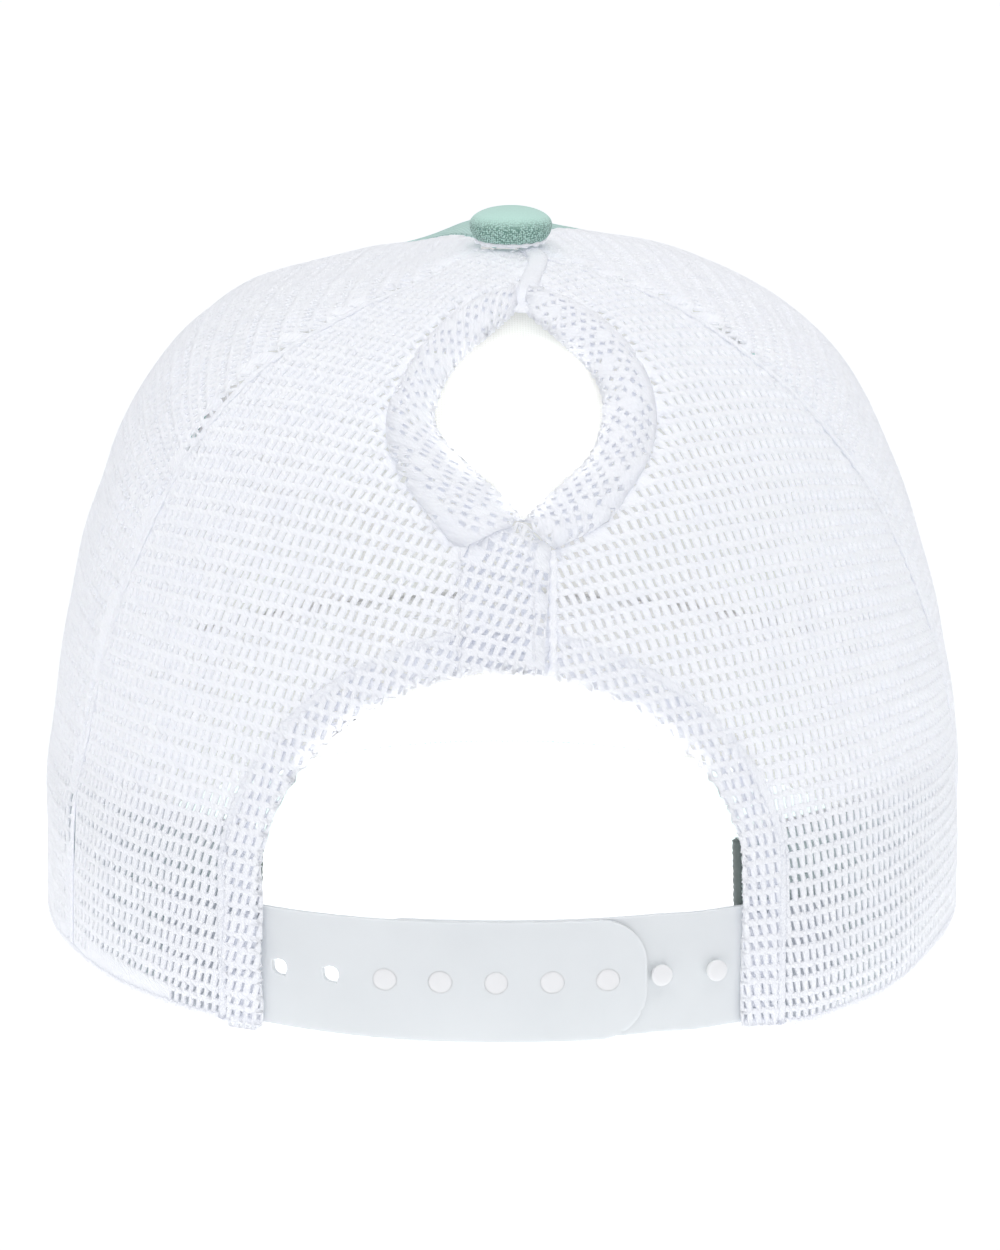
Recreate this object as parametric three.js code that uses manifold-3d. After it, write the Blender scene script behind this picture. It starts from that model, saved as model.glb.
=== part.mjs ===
// Trucker cap: mint front panels and brim, white mesh back with a high ponytail hole,
// an arch opening at the back and a snap strap of two plastic halves across it.
//
// Millimetres, +Z up. The brim points to -Y and the strap to +Y; +X is the wearer's left.
// Places on the crown are given by an angle round it, 0 at the centre back and growing
// towards +X, and by a level, 0 at the rim and 1 at the top.

import * as THREE from 'three';
import { mergeVertices } from 'three/addons/utils/BufferGeometryUtils.js';
import Module from 'manifold-3d';

const wasm = await Module();
wasm.setup();

// Driving dimensions
const crown = {
  halfWidth: 89.5, backDepth: 92, frontDepth: 99, planPower: 2.15,
  height: 132, sideRise: 3, frontRise: 10, riseFades: 0.4,
};
// One row per level of the crown: share of its height, and of the rim's radius
const profile = [
  { height: 0.000, side: 1.000, back: 1.000, front: 0.985 },
  { height: 0.130, side: 1.000, back: 0.998, front: 0.995 },
  { height: 0.260, side: 0.997, back: 0.988, front: 1.000 },
  { height: 0.390, side: 0.978, back: 0.967, front: 0.995 },
  { height: 0.520, side: 0.942, back: 0.930, front: 0.980 },
  { height: 0.645, side: 0.892, back: 0.870, front: 0.945 },
  { height: 0.760, side: 0.823, back: 0.785, front: 0.880 },
  { height: 0.860, side: 0.720, back: 0.660, front: 0.775 },
  { height: 0.935, side: 0.552, back: 0.480, front: 0.600 },
  { height: 0.980, side: 0.310, back: 0.260, front: 0.340 },
  { height: 1.000, side: 0.000, back: 0.000, front: 0.000 },
];
const gap = 0.3;                 // left between pieces that touch
const mesh = { thickness: 1.2, topLevel: 0.985 };
// Angles of the back seams from the centre back and of the front seams from the centre front, at the
// top, and how much wider they get below a level
const seams = {
  softness: 0.12,
  back: { left: { top: 50, flare: 16 }, right: { top: 54, flare: 30 }, flareLevel: 0.75 },
  front: { left: { top: 16, flare: 44 }, right: { top: 16, flare: 44 }, flareLevel: 0.9 },
};
const arch = { halfWidth: 45, leg: 30, top: 70, power: 1.85, hem: 8.2, hemTop: 9 };
const bridge = { left: 8.3, right: -9.3, top: 91, out: 1.8, in: 1.4 };
// Ponytail hole: height above the rim of each row, widths of the hole to both sides and half its hem's
const bun = { centre: -3.5, seamLevels: [0.91, 0.95], seamAngles: [-13, -32, -42] };
const bunRows = [
  { hole: 96.8, holeLeft: 0.0, holeRight: 0.0, hem: 91.0, hemHalf: null },
  { hole: 99.0, holeLeft: 3.3, holeRight: 3.1, hem: 95.5, hemHalf: 16.0 },
  { hole: 102.0, holeLeft: 7.4, holeRight: 6.8, hem: 100.0, hemHalf: 20.0 },
  { hole: 105.5, holeLeft: 11.8, holeRight: 10.7, hem: 104.5, hemHalf: 23.4 },
  { hole: 109.0, holeLeft: 15.0, holeRight: 13.2, hem: 109.0, hemHalf: 25.3 },
  { hole: 112.5, holeLeft: 16.5, holeRight: 14.8, hem: 113.5, hemHalf: 25.5 },
  { hole: 116.0, holeLeft: 16.0, holeRight: 15.2, hem: 118.0, hemHalf: 24.0 },
  { hole: 119.4, holeLeft: 14.1, holeRight: 13.3, hem: 122.5, hemHalf: 20.5 },
  { hole: 122.7, holeLeft: 10.4, holeRight: 9.2, hem: 126.0, hemHalf: 15.5 },
  { hole: 125.2, holeLeft: 5.4, holeRight: 4.8, hem: 128.2, hemHalf: 9.0 },
  { hole: 127.2, holeLeft: 0.5, holeRight: 0.5, hem: 129.4, hemHalf: 1.5 },
];
const hem = { thickness: 2.4 };
const lining = { out: -0.9, thickness: 1.8, lowLevel: 0.225, highLevel: 0.95 };
const band = {
  height: 36, thickness: 1.8, out: -1.5, backOut: -3.0,
  leftEnd: 31, rightEnd: -29, blendFrom: 46, blendTo: 54, footLevel: 0.004,
};
const strap = {
  height: 23, thickness: 1.2, outerLift: -1.5, innerLift: -3.0,
  sewnEnd: 44, tip: 17.2, tipRound: 9, tipPinch: 0.34, tipCrowding: 1.35, footLevel: 0.002,
  snaps: 7, pitch: 10.55, firstPeg: 1.1, level: 11.5, joggle: 6,
  holeRadius: 1.75, pegRadius: 1.35, pegRoot: 0.6, headRadius: 1.75, headHeight: 0.9,
};
const brim = {
  halfAngle: 58, halfWidth: 90, endWidth: 80, length: 71, sideStart: -50, thickness: 3.5,
  slope: 0.12, sideSlope: 0.52, endLength: 6, sidePower: 0.9, frontPower: 0.82, endPower: 5,
};
const button = { radius: 8, height: 7.5, footShare: 0.62, skirtShare: 0.57, x: -1.7 };
const restPitch = 4.0;           // degrees that the brim's wings lift the front when it rests

const colours = {
  mint: '#bfe3da', mintBand: '#b4d6cc', white: '#eff1f8', lining: '#f3f1ea', strap: '#e6ecee',
};

const radians = THREE.MathUtils.degToRad;
const degrees = THREE.MathUtils.radToDeg;
const mix = THREE.MathUtils.lerp;
const smooth = THREE.MathUtils.smoothstep;
const range = (count) => Array.from({ length: count }, (_, i) => i);

// The crown's surface
function fromProfile(column, level, beyondTop) {
  const last = profile.length - 1;
  const at = THREE.MathUtils.clamp(level, 0, 1) * last;
  const i = Math.min(Math.floor(at), last - 1);
  const f = at - i;
  const value = (k) => {
    if (k < 0) return 2 * profile[0][column] - profile[1][column];
    return k > last ? beyondTop : profile[k][column];
  };
  const [a, b, c, d] = [value(i - 1), value(i), value(i + 1), value(i + 2)];
  return 0.5 * (2 * b + (c - a) * f + (2 * a - 5 * b + 4 * c - d) * f * f
    + (3 * b - a - 3 * c + d) * f * f * f);
}

function surfacePoint(angle, level) {
  const theta = radians(angle);
  const [s, c] = [Math.sin(theta), Math.cos(theta)];
  const depth = c > 0 ? crown.backDepth : crown.frontDepth;
  const power = crown.planPower;
  const plan = (Math.abs(s / crown.halfWidth) ** power + Math.abs(c / depth) ** power) ** (-1 / power);
  const end = c > 0 ? 'back' : 'front';
  const last = profile[profile.length - 2];
  const side = fromProfile('side', level, -last.side);
  const share = mix(side, fromProfile(end, level, -last[end]), c * c);
  const z = crown.height * fromProfile('height', level, last.height);
  const rise = c > 0 ? crown.sideRise * s * s : mix(crown.sideRise, crown.frontRise, c * c);
  const low = Math.max(0, 1 - z / (crown.riseFades * crown.height));
  const radius = plan * share;
  return new THREE.Vector3(radius * s, radius * c, z + rise * low * low);
}

function surfaceNormal(angle, level) {
  const [dAngle, dLevel] = [0.5, 0.004];
  const low = Math.max(0, level - dLevel);
  const high = Math.min(1, level + dLevel);
  const around = surfacePoint(angle + dAngle, level).sub(surfacePoint(angle - dAngle, level));
  const up = surfacePoint(angle, high).sub(surfacePoint(angle, low));
  return up.cross(around).normalize();
}

function crownPoint([angle, level], lift) {
  return surfacePoint(angle, level).addScaledVector(surfaceNormal(angle, level), lift);
}

// Angle and level of the point on the back that is at x and z
function placeAt(x, z) {
  let angle = 0;
  let level = 0;
  for (let pass = 0; pass < 4; pass += 1) {
    let [low, high] = [0, 1];
    for (let i = 0; i < 30; i += 1) {
      level = (low + high) / 2;
      if (surfacePoint(angle, level).z < z) low = level;
      else high = level;
    }
    const radius = Math.hypot(surfacePoint(angle, level).x, surfacePoint(angle, level).y);
    angle = degrees(Math.asin(THREE.MathUtils.clamp(x / radius, -0.99, 0.99)));
  }
  return [angle, level];
}

// Half angle between the two seams of a pair, on the given side
function seamAngle(pair, side, level) {
  const { top, flare } = side > 0 ? pair.left : pair.right;
  const share = (pair.flareLevel - level) / pair.flareLevel;
  const soft = Math.min(1, (share + Math.hypot(share, seams.softness)) / 2);
  return top + flare * Math.sin(soft * Math.PI / 2);
}

// Closed geometry from a grid of outer and a grid of inner points
function closedShell(outer, inner) {
  const [rows, columns] = [outer.length, outer[0].length];
  const points = [...outer.flat(), ...inner.flat()];
  const count = rows * columns;
  const triangles = [];
  const quad = (a, b, c, d) => triangles.push(a, b, c, a, c, d);
  const at = (r, c) => r * columns + c;
  for (let r = 0; r < rows - 1; r += 1) {
    for (let c = 0; c < columns - 1; c += 1) {
      const [a, b, d, e] = [at(r, c), at(r, c + 1), at(r + 1, c + 1), at(r + 1, c)];
      quad(a, b, d, e);
      quad(count + e, count + d, count + b, count + a);
    }
  }
  const rim = [
    ...range(columns).map((c) => at(0, c)),
    ...range(rows - 1).map((r) => at(r + 1, columns - 1)),
    ...range(columns - 1).map((c) => at(rows - 1, columns - 2 - c)),
    ...range(rows - 2).map((r) => at(rows - 2 - r, 0)),
  ];
  rim.forEach((a, i) => {
    const b = rim[(i + 1) % rim.length];
    quad(b, a, count + a, count + b);
  });
  return solidGeometry(points, triangles);
}

function solidGeometry(points, triangles) {
  const geometry = new THREE.BufferGeometry();
  const volume = range(triangles.length / 3).reduce((sum, i) => {
    const [a, b, c] = [0, 1, 2].map((k) => points[triangles[3 * i + k]]);
    return sum + a.dot(b.clone().cross(c));
  }, 0);
  const order = volume > 0 ? triangles : triangles.slice().reverse();
  geometry.setAttribute('position', new THREE.Float32BufferAttribute(points.flatMap((p) => p.toArray()), 3));
  geometry.setIndex(order);
  return geometry;
}

// Moves the edges of a grid of places inwards, so that neighbours keep their gap
function drawIn(grid, distance) {
  const step = (from, to) => {
    const span = crownPoint(from, 0).distanceTo(crownPoint(to, 0));
    const share = distance / span;
    return [mix(from[0], to[0], share), mix(from[1], to[1], share)];
  };
  const rows = grid.length;
  const narrowed = grid.map((row) => {
    const ends = row.length - 1;
    return row.map((place, i) => {
      if (i === 0) return step(place, row[1]);
      return i === ends ? step(place, row[ends - 1]) : place;
    });
  });
  return narrowed.map((row, r) => row.map((place, i) => {
    if (r === 0) return step(place, narrowed[1][i]);
    return r === rows - 1 ? step(place, narrowed[rows - 2][i]) : place;
  }));
}

// Wall between two rails of places, from one lift off the surface to another
function clothBetween(railA, railB, across, out, thickness) {
  const grid = railA.map((from, k) => range(across + 1).map((j) => [
    mix(from[0], railB[k][0], j / across),
    mix(from[1], railB[k][1], j / across),
  ]));
  const places = drawIn(grid, gap / 2);
  const skin = (lift) => places.map((row) => row.map((place) => crownPoint(place, lift)));
  return closedShell(skin(out), skin(out - thickness));
}

// Rails. Those of the back half take a side: 1 for the wearer's left, -1 for the right
const archSteps = { leg: 3, curve: 7 };
const seamLevels = [
  ...range(11).map((k) => 0.52 * k / 11),
  ...range(11).map((k) => 0.52 + 0.035 * k),
  ...bun.seamLevels, mesh.topLevel,
];

function bridgeEdge(side) {
  return side > 0 ? bridge.left : bridge.right;
}

function archRail(side, widen, raise) {
  const half = arch.halfWidth + widen;
  const rise = arch.top + raise - arch.leg;
  const legs = range(archSteps.leg).map((k) => placeAt(side * half, arch.leg * k / archSteps.leg));
  legs[0][1] = 0;
  const edge = Math.abs(bridgeEdge(side));
  const endTurn = Math.acos((edge / half) ** (arch.power / 2));
  const curve = range(archSteps.curve + 1).map((k) => {
    const turn = endTurn * k / archSteps.curve;
    const x = half * Math.cos(turn) ** (2 / arch.power);
    const z = arch.leg + rise * Math.sin(turn) ** (2 / arch.power);
    return placeAt(side * x, z);
  });
  return [...legs, ...curve];
}

function bunHoleRail(side) {
  return bunRows.map((row) => {
    const x = bun.centre + (side > 0 ? row.holeLeft : -row.holeRight);
    return placeAt(x, row.hole);
  });
}

function bunHemRail(side) {
  return bunRows.map((row) => {
    const x = row.hemHalf === null ? bridgeEdge(side) : bun.centre + side * row.hemHalf;
    return placeAt(x, row.hem);
  });
}

function centreSeamRail() {
  return [...bun.seamLevels, mesh.topLevel].map((level, k) => [bun.seamAngles[k], level]);
}

function innerRail(side) {
  return [...archRail(side, arch.hem, arch.hemTop), ...bunHemRail(side), ...centreSeamRail()];
}

const backSeamRail = (side) => seamLevels.map((level) => [side * seamAngle(seams.back, side, level), level]);
const frontSeamRail = (side, levels = seamLevels) => levels.map((level) => [
  side * (180 - seamAngle(seams.front, side, level)), level,
]);
const frontCentreRail = (side) => seamLevels.map((level) => [side * 180, level]);
const wholeTurnOn = (rail) => rail.map(([angle, level]) => [angle + 360, level]);

// Pieces
const meshOut = mesh.thickness / 2;

function backMesh(side) {
  return clothBetween(innerRail(side), backSeamRail(side), 8, meshOut, mesh.thickness);
}

function sideMesh(side) {
  return clothBetween(backSeamRail(side), frontSeamRail(side), 8, meshOut, mesh.thickness);
}

function frontPanel(side) {
  return clothBetween(frontSeamRail(side), frontCentreRail(side), 6, meshOut, mesh.thickness);
}

function frontLining() {
  const above = seamLevels.filter((level) => level > lining.lowLevel && level <= lining.highLevel);
  const levels = [lining.lowLevel, ...above];
  const right = wholeTurnOn(frontSeamRail(-1, levels));
  return clothBetween(frontSeamRail(1, levels), right, 12, lining.out, lining.thickness);
}

function archHem(side) {
  const inner = archRail(side, 0, 0);
  return clothBetween(inner, archRail(side, arch.hem, arch.hemTop), 2, hem.thickness / 2, hem.thickness);
}

function bunHem(side) {
  return clothBetween(bunHoleRail(side), bunHemRail(side), 2, hem.thickness / 2, hem.thickness);
}

function bridgeStrip() {
  const steps = 8;
  const below = range(steps + 1).map((k) => {
    const x = mix(bridge.left, bridge.right, k / steps);
    const turn = Math.acos((Math.abs(x) / arch.halfWidth) ** (arch.power / 2));
    return placeAt(x, arch.leg + (arch.top - arch.leg) * Math.sin(turn) ** (2 / arch.power));
  });
  const above = range(steps + 1).map((k) => {
    const x = mix(bridge.left, bridge.right, k / steps);
    const edge = x > bun.centre ? bridge.left : bridge.right;
    const share = (x - bun.centre) / (edge - bun.centre);
    return placeAt(x, mix(bunRows[0].hole, bridge.top, share));
  });
  return clothBetween(below, above, 4, bridge.out, bridge.out + bridge.in);
}

function sweatband() {
  const steps = 44;
  const topLevel = placeAt(0, band.height)[1];
  const lift = (angle) => {
    const fromBack = Math.abs(angle > 180 ? angle - 360 : angle);
    return mix(band.backOut, band.out, smooth(fromBack, band.blendFrom, band.blendTo));
  };
  const rows = range(steps + 1).map((k) => {
    const angle = mix(band.leftEnd, 360 + band.rightEnd, k / steps);
    return [band.footLevel, topLevel / 2, topLevel].map((level) => [angle, level]);
  });
  const skin = (extra) => rows.map((row) => row.map((place) => crownPoint(place, lift(place[0]) - extra)));
  return closedShell(skin(0), skin(band.thickness));
}

// A strap half from its sewn end to its round tip, as places with a lift for each column
function strapHalf(side, liftAt) {
  const steps = 22;
  const topLevel = placeAt(0, strap.height)[1];
  const radius = crown.backDepth;
  const roundAngle = degrees(strap.tipRound / radius);
  const rows = range(steps + 1).map((k) => {
    const share = k / steps;
    const crowded = 1 - 0.5 * (2 - 2 * share) ** strap.tipCrowding;
    const angle = mix(strap.sewnEnd, -strap.tip, share < 0.5 ? share : crowded);
    const past = Math.max(0, (-strap.tip + roundAngle - angle) / roundAngle);
    const corner = strap.tipRound * (1 - Math.sqrt(Math.max(0, 1 - past * past))) / strap.height;
    const pinch = Math.min(corner, strap.tipPinch);
    return [0, 0.5, 1].map((v) => [side * angle, topLevel * mix(pinch, 1 - pinch, v) + strap.footLevel]);
  });
  const skin = (extra) => rows.map((row) => row.map((place) => crownPoint(place, liftAt(place[0]) - extra)));
  return closedShell(skin(0), skin(strap.thickness));
}

function asSolid(geometry) {
  const bare = geometry.clone();
  bare.deleteAttribute('normal');
  bare.deleteAttribute('uv');
  const merged = mergeVertices(bare, 1e-4);
  return new wasm.Manifold(new wasm.Mesh({
    numProp: 3,
    vertProperties: new Float32Array(merged.attributes.position.array),
    triVerts: new Uint32Array(merged.index.array),
  }));
}

function asGeometry(solid) {
  const result = solid.getMesh();
  const geometry = new THREE.BufferGeometry();
  geometry.setAttribute('position', new THREE.BufferAttribute(result.vertProperties, 3));
  geometry.setIndex(new THREE.BufferAttribute(result.triVerts, 1));
  return geometry;
}

// Places of the snaps, along the strap; the holes run to the left end, the pegs to the right
function snapPlace(index) {
  const along = strap.firstPeg + strap.pitch * index;
  const angle = degrees(along / crown.backDepth);
  return [angle, placeAt(0, strap.level)[1]];
}

// A turned shape standing on the crown, its base at the given lift
function standOnCrown(geometry, place, lift) {
  const turn = new THREE.Quaternion().setFromUnitVectors(
    new THREE.Vector3(0, 1, 0),
    surfaceNormal(place[0], place[1]),
  );
  const spot = crownPoint(place, lift);
  return geometry.applyMatrix4(new THREE.Matrix4().compose(spot, turn, new THREE.Vector3(1, 1, 1)));
}

function strapHoles() {
  const plate = asSolid(strapHalf(1, () => strap.outerLift));
  const cutLength = 4 * strap.thickness;
  const holes = range(strap.snaps).map((k) => {
    const cut = new THREE.CylinderGeometry(strap.holeRadius, strap.holeRadius, cutLength, 10);
    return asSolid(standOnCrown(cut, snapPlace(k - 2), strap.outerLift - strap.thickness / 2));
  });
  return asGeometry(holes.reduce((solid, cut) => solid.subtract(cut), plate));
}

function innerStrapLift(angle) {
  const clearOfTip = strap.tip + 1;
  return mix(strap.innerLift, strap.outerLift, smooth(-angle, clearOfTip, clearOfTip + strap.joggle));
}

function strapPegs() {
  const plate = asSolid(strapHalf(-1, innerStrapLift));
  const headBase = strap.outerLift - strap.innerLift + gap;
  const outline = [
    [0, -strap.pegRoot], [strap.pegRadius, -strap.pegRoot],
    [strap.pegRadius, headBase], [strap.headRadius, headBase],
    [strap.headRadius, headBase + strap.headHeight / 2], [strap.pegRadius, headBase + strap.headHeight],
    [0, headBase + strap.headHeight],
  ].map(([r, y]) => new THREE.Vector2(r, y));
  const pegs = range(strap.snaps).map((k) => {
    const place = snapPlace(2 - k);
    return asSolid(standOnCrown(new THREE.LatheGeometry(outline, 10), place, innerStrapLift(place[0])));
  });
  return asGeometry(pegs.reduce((solid, peg) => solid.add(peg), plate));
}

function capBrim() {
  const [along, across] = [22, 7];
  const topAt = (share, out) => {
    const angle = 180 - brim.halfAngle * share;
    const root = crownPoint([angle, 0], -meshOut);
    const turn = radians(90 * share);
    const narrowing = (brim.halfWidth - brim.endWidth) * share ** brim.endPower;
    const reachForward = crown.frontDepth + brim.length + brim.sideStart;
    const tip = new THREE.Vector3(
      brim.halfWidth * Math.sin(turn) ** brim.sidePower - narrowing,
      brim.sideStart - reachForward * Math.cos(turn) ** brim.frontPower,
      0,
    );
    const flat = root.clone().setZ(0);
    const reach = tip.sub(flat);
    if (reach.length() < brim.endLength) reach.setLength(brim.endLength);
    const run = reach.length() * out;
    const point = flat.addScaledVector(reach, out);
    return point.setZ(root.z - gap - run * (brim.slope + brim.sideSlope * share * share));
  };
  const grid = range(along + 1).map((i) => range(across + 1).map((j) => {
    const share = 2 * i / along - 1;
    const point = topAt(Math.abs(share), j / across);
    return share < 0 ? point.setX(-point.x) : point;
  }));
  const under = grid.map((row) => row.map((point) => point.clone().setZ(point.z - brim.thickness)));
  return closedShell(grid, under);
}

function crownButton() {
  const sides = 18;
  const base = crown.height + meshOut + gap;
  const dome = range(6).map((k) => {
    const turn = radians(90 * k / 5);
    const height = button.height * mix(button.skirtShare, 1, Math.sin(turn));
    return new THREE.Vector2(button.radius * Math.cos(turn), height);
  });
  dome[dome.length - 1].x = 0;
  const foot = new THREE.Vector2(button.footShare * button.radius, 0);
  const outline = [new THREE.Vector2(0, 0), foot, ...dome];
  const geometry = new THREE.LatheGeometry(outline, sides);
  geometry.rotateX(Math.PI / 2);
  geometry.translate(button.x, 0, base);
  const bare = geometry.clone();
  bare.deleteAttribute('normal');
  bare.deleteAttribute('uv');
  return mergeVertices(bare, 1e-3);
}

const finishes = {
  mint: new THREE.MeshStandardMaterial({ color: colours.mint, roughness: 0.85, metalness: 0 }),
  mintBand: new THREE.MeshStandardMaterial({ color: colours.mintBand, roughness: 0.95, metalness: 0 }),
  mesh: new THREE.MeshStandardMaterial({ color: colours.white, roughness: 0.7, metalness: 0 }),
  lining: new THREE.MeshStandardMaterial({ color: colours.lining, roughness: 0.95, metalness: 0 }),
  strap: new THREE.MeshStandardMaterial({ color: colours.strap, roughness: 0.35, metalness: 0 }),
};

const cap = new THREE.Group();
function add(name, geometry, finish) {
  const piece = new THREE.Mesh(geometry, finishes[finish]);
  piece.name = name;
  cap.add(piece);
}

for (const [word, side] of [['left', 1], ['right', -1]]) {
  add(`front_panel_${word}`, frontPanel(side), 'mint');
  add(`side_mesh_${word}`, sideMesh(side), 'mesh');
  add(`back_mesh_${word}`, backMesh(side), 'mesh');
  add(`arch_hem_${word}`, archHem(side), 'mesh');
  add(`bun_hem_${word}`, bunHem(side), 'mesh');
}
add('bridge_strip', bridgeStrip(), 'mesh');
add('front_lining', frontLining(), 'lining');
add('sweatband', sweatband(), 'mintBand');
add('brim', capBrim(), 'mint');
add('button', crownButton(), 'mint');
add('strap_holes', strapHoles(), 'strap');
add('strap_pegs', strapPegs(), 'strap');

// It rests on the brim's two wings and the back of the rim, centred over the origin
cap.rotation.x = -radians(restPitch);
const box = new THREE.Box3().setFromObject(cap, true);
const centre = box.getCenter(new THREE.Vector3());
cap.position.set(-centre.x, -centre.y, -box.min.z);

export default cap;
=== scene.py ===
import math

import bpy
import mathutils
import numpy as np
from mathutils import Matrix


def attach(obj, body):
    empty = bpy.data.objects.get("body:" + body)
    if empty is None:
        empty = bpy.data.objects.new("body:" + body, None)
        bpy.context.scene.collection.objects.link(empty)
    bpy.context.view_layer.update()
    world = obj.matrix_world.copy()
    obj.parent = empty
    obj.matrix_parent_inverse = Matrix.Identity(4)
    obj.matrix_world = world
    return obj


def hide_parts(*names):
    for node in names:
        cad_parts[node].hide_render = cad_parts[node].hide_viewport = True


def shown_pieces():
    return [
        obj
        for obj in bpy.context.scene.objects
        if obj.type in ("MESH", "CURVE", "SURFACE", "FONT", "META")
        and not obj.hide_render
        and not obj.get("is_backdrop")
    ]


# Trucker cap seen from behind: mint front, white knitted mesh back with a ponytail hole and an arch,
# closed by a snap strap. Sizes are in millimetres, and pieces are written to the scene in metres.
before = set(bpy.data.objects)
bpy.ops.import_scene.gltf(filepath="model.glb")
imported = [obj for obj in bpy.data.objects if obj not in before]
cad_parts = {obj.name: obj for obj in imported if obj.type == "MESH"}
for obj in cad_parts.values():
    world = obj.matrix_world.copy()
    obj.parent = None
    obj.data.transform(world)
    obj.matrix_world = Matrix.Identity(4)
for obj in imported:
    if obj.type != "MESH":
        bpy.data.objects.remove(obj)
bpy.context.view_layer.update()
print("frame loaded with", len(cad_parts), "nodes")


# Small tools for meshes
def deselectAll():
    if bpy.context.mode != "OBJECT":
        bpy.ops.object.mode_set(mode="OBJECT")
    bpy.ops.object.select_all(action="DESELECT")


def activate(piece):
    deselectAll()
    piece.select_set(True)
    bpy.context.view_layer.objects.active = piece


def nameNew(name):
    piece = bpy.context.object
    piece.name = name
    piece.data.name = name
    return piece


def readValues(items, name, kind=float, width=1):
    values = np.zeros(len(items) * width, kind)
    items.foreach_get(name, values)
    return values if width == 1 else values.reshape(-1, width)


def readPoints(piece):
    return readValues(piece.data.vertices, "co", width=3)


def writePoints(piece, points):
    piece.data.vertices.foreach_set("co", np.ascontiguousarray(points, dtype=np.float32).ravel())
    piece.data.update()


def readCorners(mesh):
    return readValues(mesh.loops, "vertex_index", int)


def faceSizes(piece):
    faces = piece.data.polygons
    return readValues(faces, "loop_total", int), readValues(faces, "area")


# Works on the chosen faces in edit mode, or on all of them
def editFaces(piece, chosen, operator, **settings):
    activate(piece)
    mesh = piece.data
    if chosen is None:
        chosen = np.ones(len(mesh.polygons), bool)
    mesh.vertices.foreach_set("select", np.zeros(len(mesh.vertices), bool))
    mesh.edges.foreach_set("select", np.zeros(len(mesh.edges), bool))
    mesh.polygons.foreach_set("select", chosen)
    bpy.context.tool_settings.mesh_select_mode = (False, False, True)
    bpy.ops.object.mode_set(mode="EDIT")
    operator(**settings)
    bpy.ops.object.mode_set(mode="OBJECT")


def layUv(piece, coords):
    layer = piece.data.uv_layers.new(name="cloth")
    coords = coords[readCorners(piece.data)]
    layer.data.foreach_set("uv", np.ascontiguousarray(coords, dtype=np.float32).ravel())
    layer.active = True
    layer.active_render = True


def applyModifier(piece, kind, **settings):
    activate(piece)
    modifier = piece.modifiers.new(kind.title(), kind)
    for name, value in settings.items():
        setattr(modifier, name, value)
    bpy.ops.object.modifier_apply(modifier=modifier.name)


def newGrid(name, columns, rows):
    deselectAll()
    bpy.ops.mesh.primitive_grid_add(x_subdivisions=columns, y_subdivisions=rows, size=2)
    piece = nameNew(name)
    while piece.data.uv_layers:
        piece.data.uv_layers.remove(piece.data.uv_layers[0])
    return piece


def joinPieces(name, pieces):
    activate(pieces[0])
    for piece in pieces:
        piece.select_set(True)
    bpy.ops.object.join()
    return nameNew(name)


def finishPiece(piece, material, slot, *nodes):
    activate(piece)
    bpy.ops.object.shade_smooth()
    piece.data.materials.clear()
    piece.data.materials.append(material)
    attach(piece, "root")
    if nodes:
        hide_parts(*nodes)
    return piece


# Materials: hex colours are sRGB
def toLinear(colour):
    parts = [int(colour[i:i + 2], 16) / 255 for i in (1, 3, 5)]
    return [c / 12.92 if c <= 0.04045 else ((c + 0.055) / 1.055) ** 2.4 for c in parts] + [1.0]


def addNode(tree, kind, settings=None, links=None):
    node = tree.nodes.new(kind)
    for name, value in (settings or {}).items():
        if isinstance(name, int) or name in node.inputs:
            node.inputs[name].default_value = value
        else:
            setattr(node, name, value)
    for name, source in (links or {}).items():
        tree.links.new(source, node.inputs[name])
    return node


def newMaterial(name):
    material = bpy.data.materials.new(name)
    material.use_nodes = True
    material.node_tree.nodes.clear()
    return material, material.node_tree


def waveScale(pitch):
    return math.tau / 20 / (pitch / 1000)    # a wave texture turns once in each pitch of so many mm


# The shader of a material, over a bump of a strength and of so many mm
def finishMaterial(material, height, bump, settings, links):
    tree = material.node_tree
    bumps = addNode(tree, "ShaderNodeBump", {"Strength": bump[0], "Distance": bump[1] / 1000},
                    {"Height": height})
    shader = addNode(tree, "ShaderNodeBsdfPrincipled", settings, {**links, "Normal": bumps.outputs["Normal"]})
    addNode(tree, "ShaderNodeOutputMaterial", {}, {"Surface": shader.outputs["BSDF"]})
    return material


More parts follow.
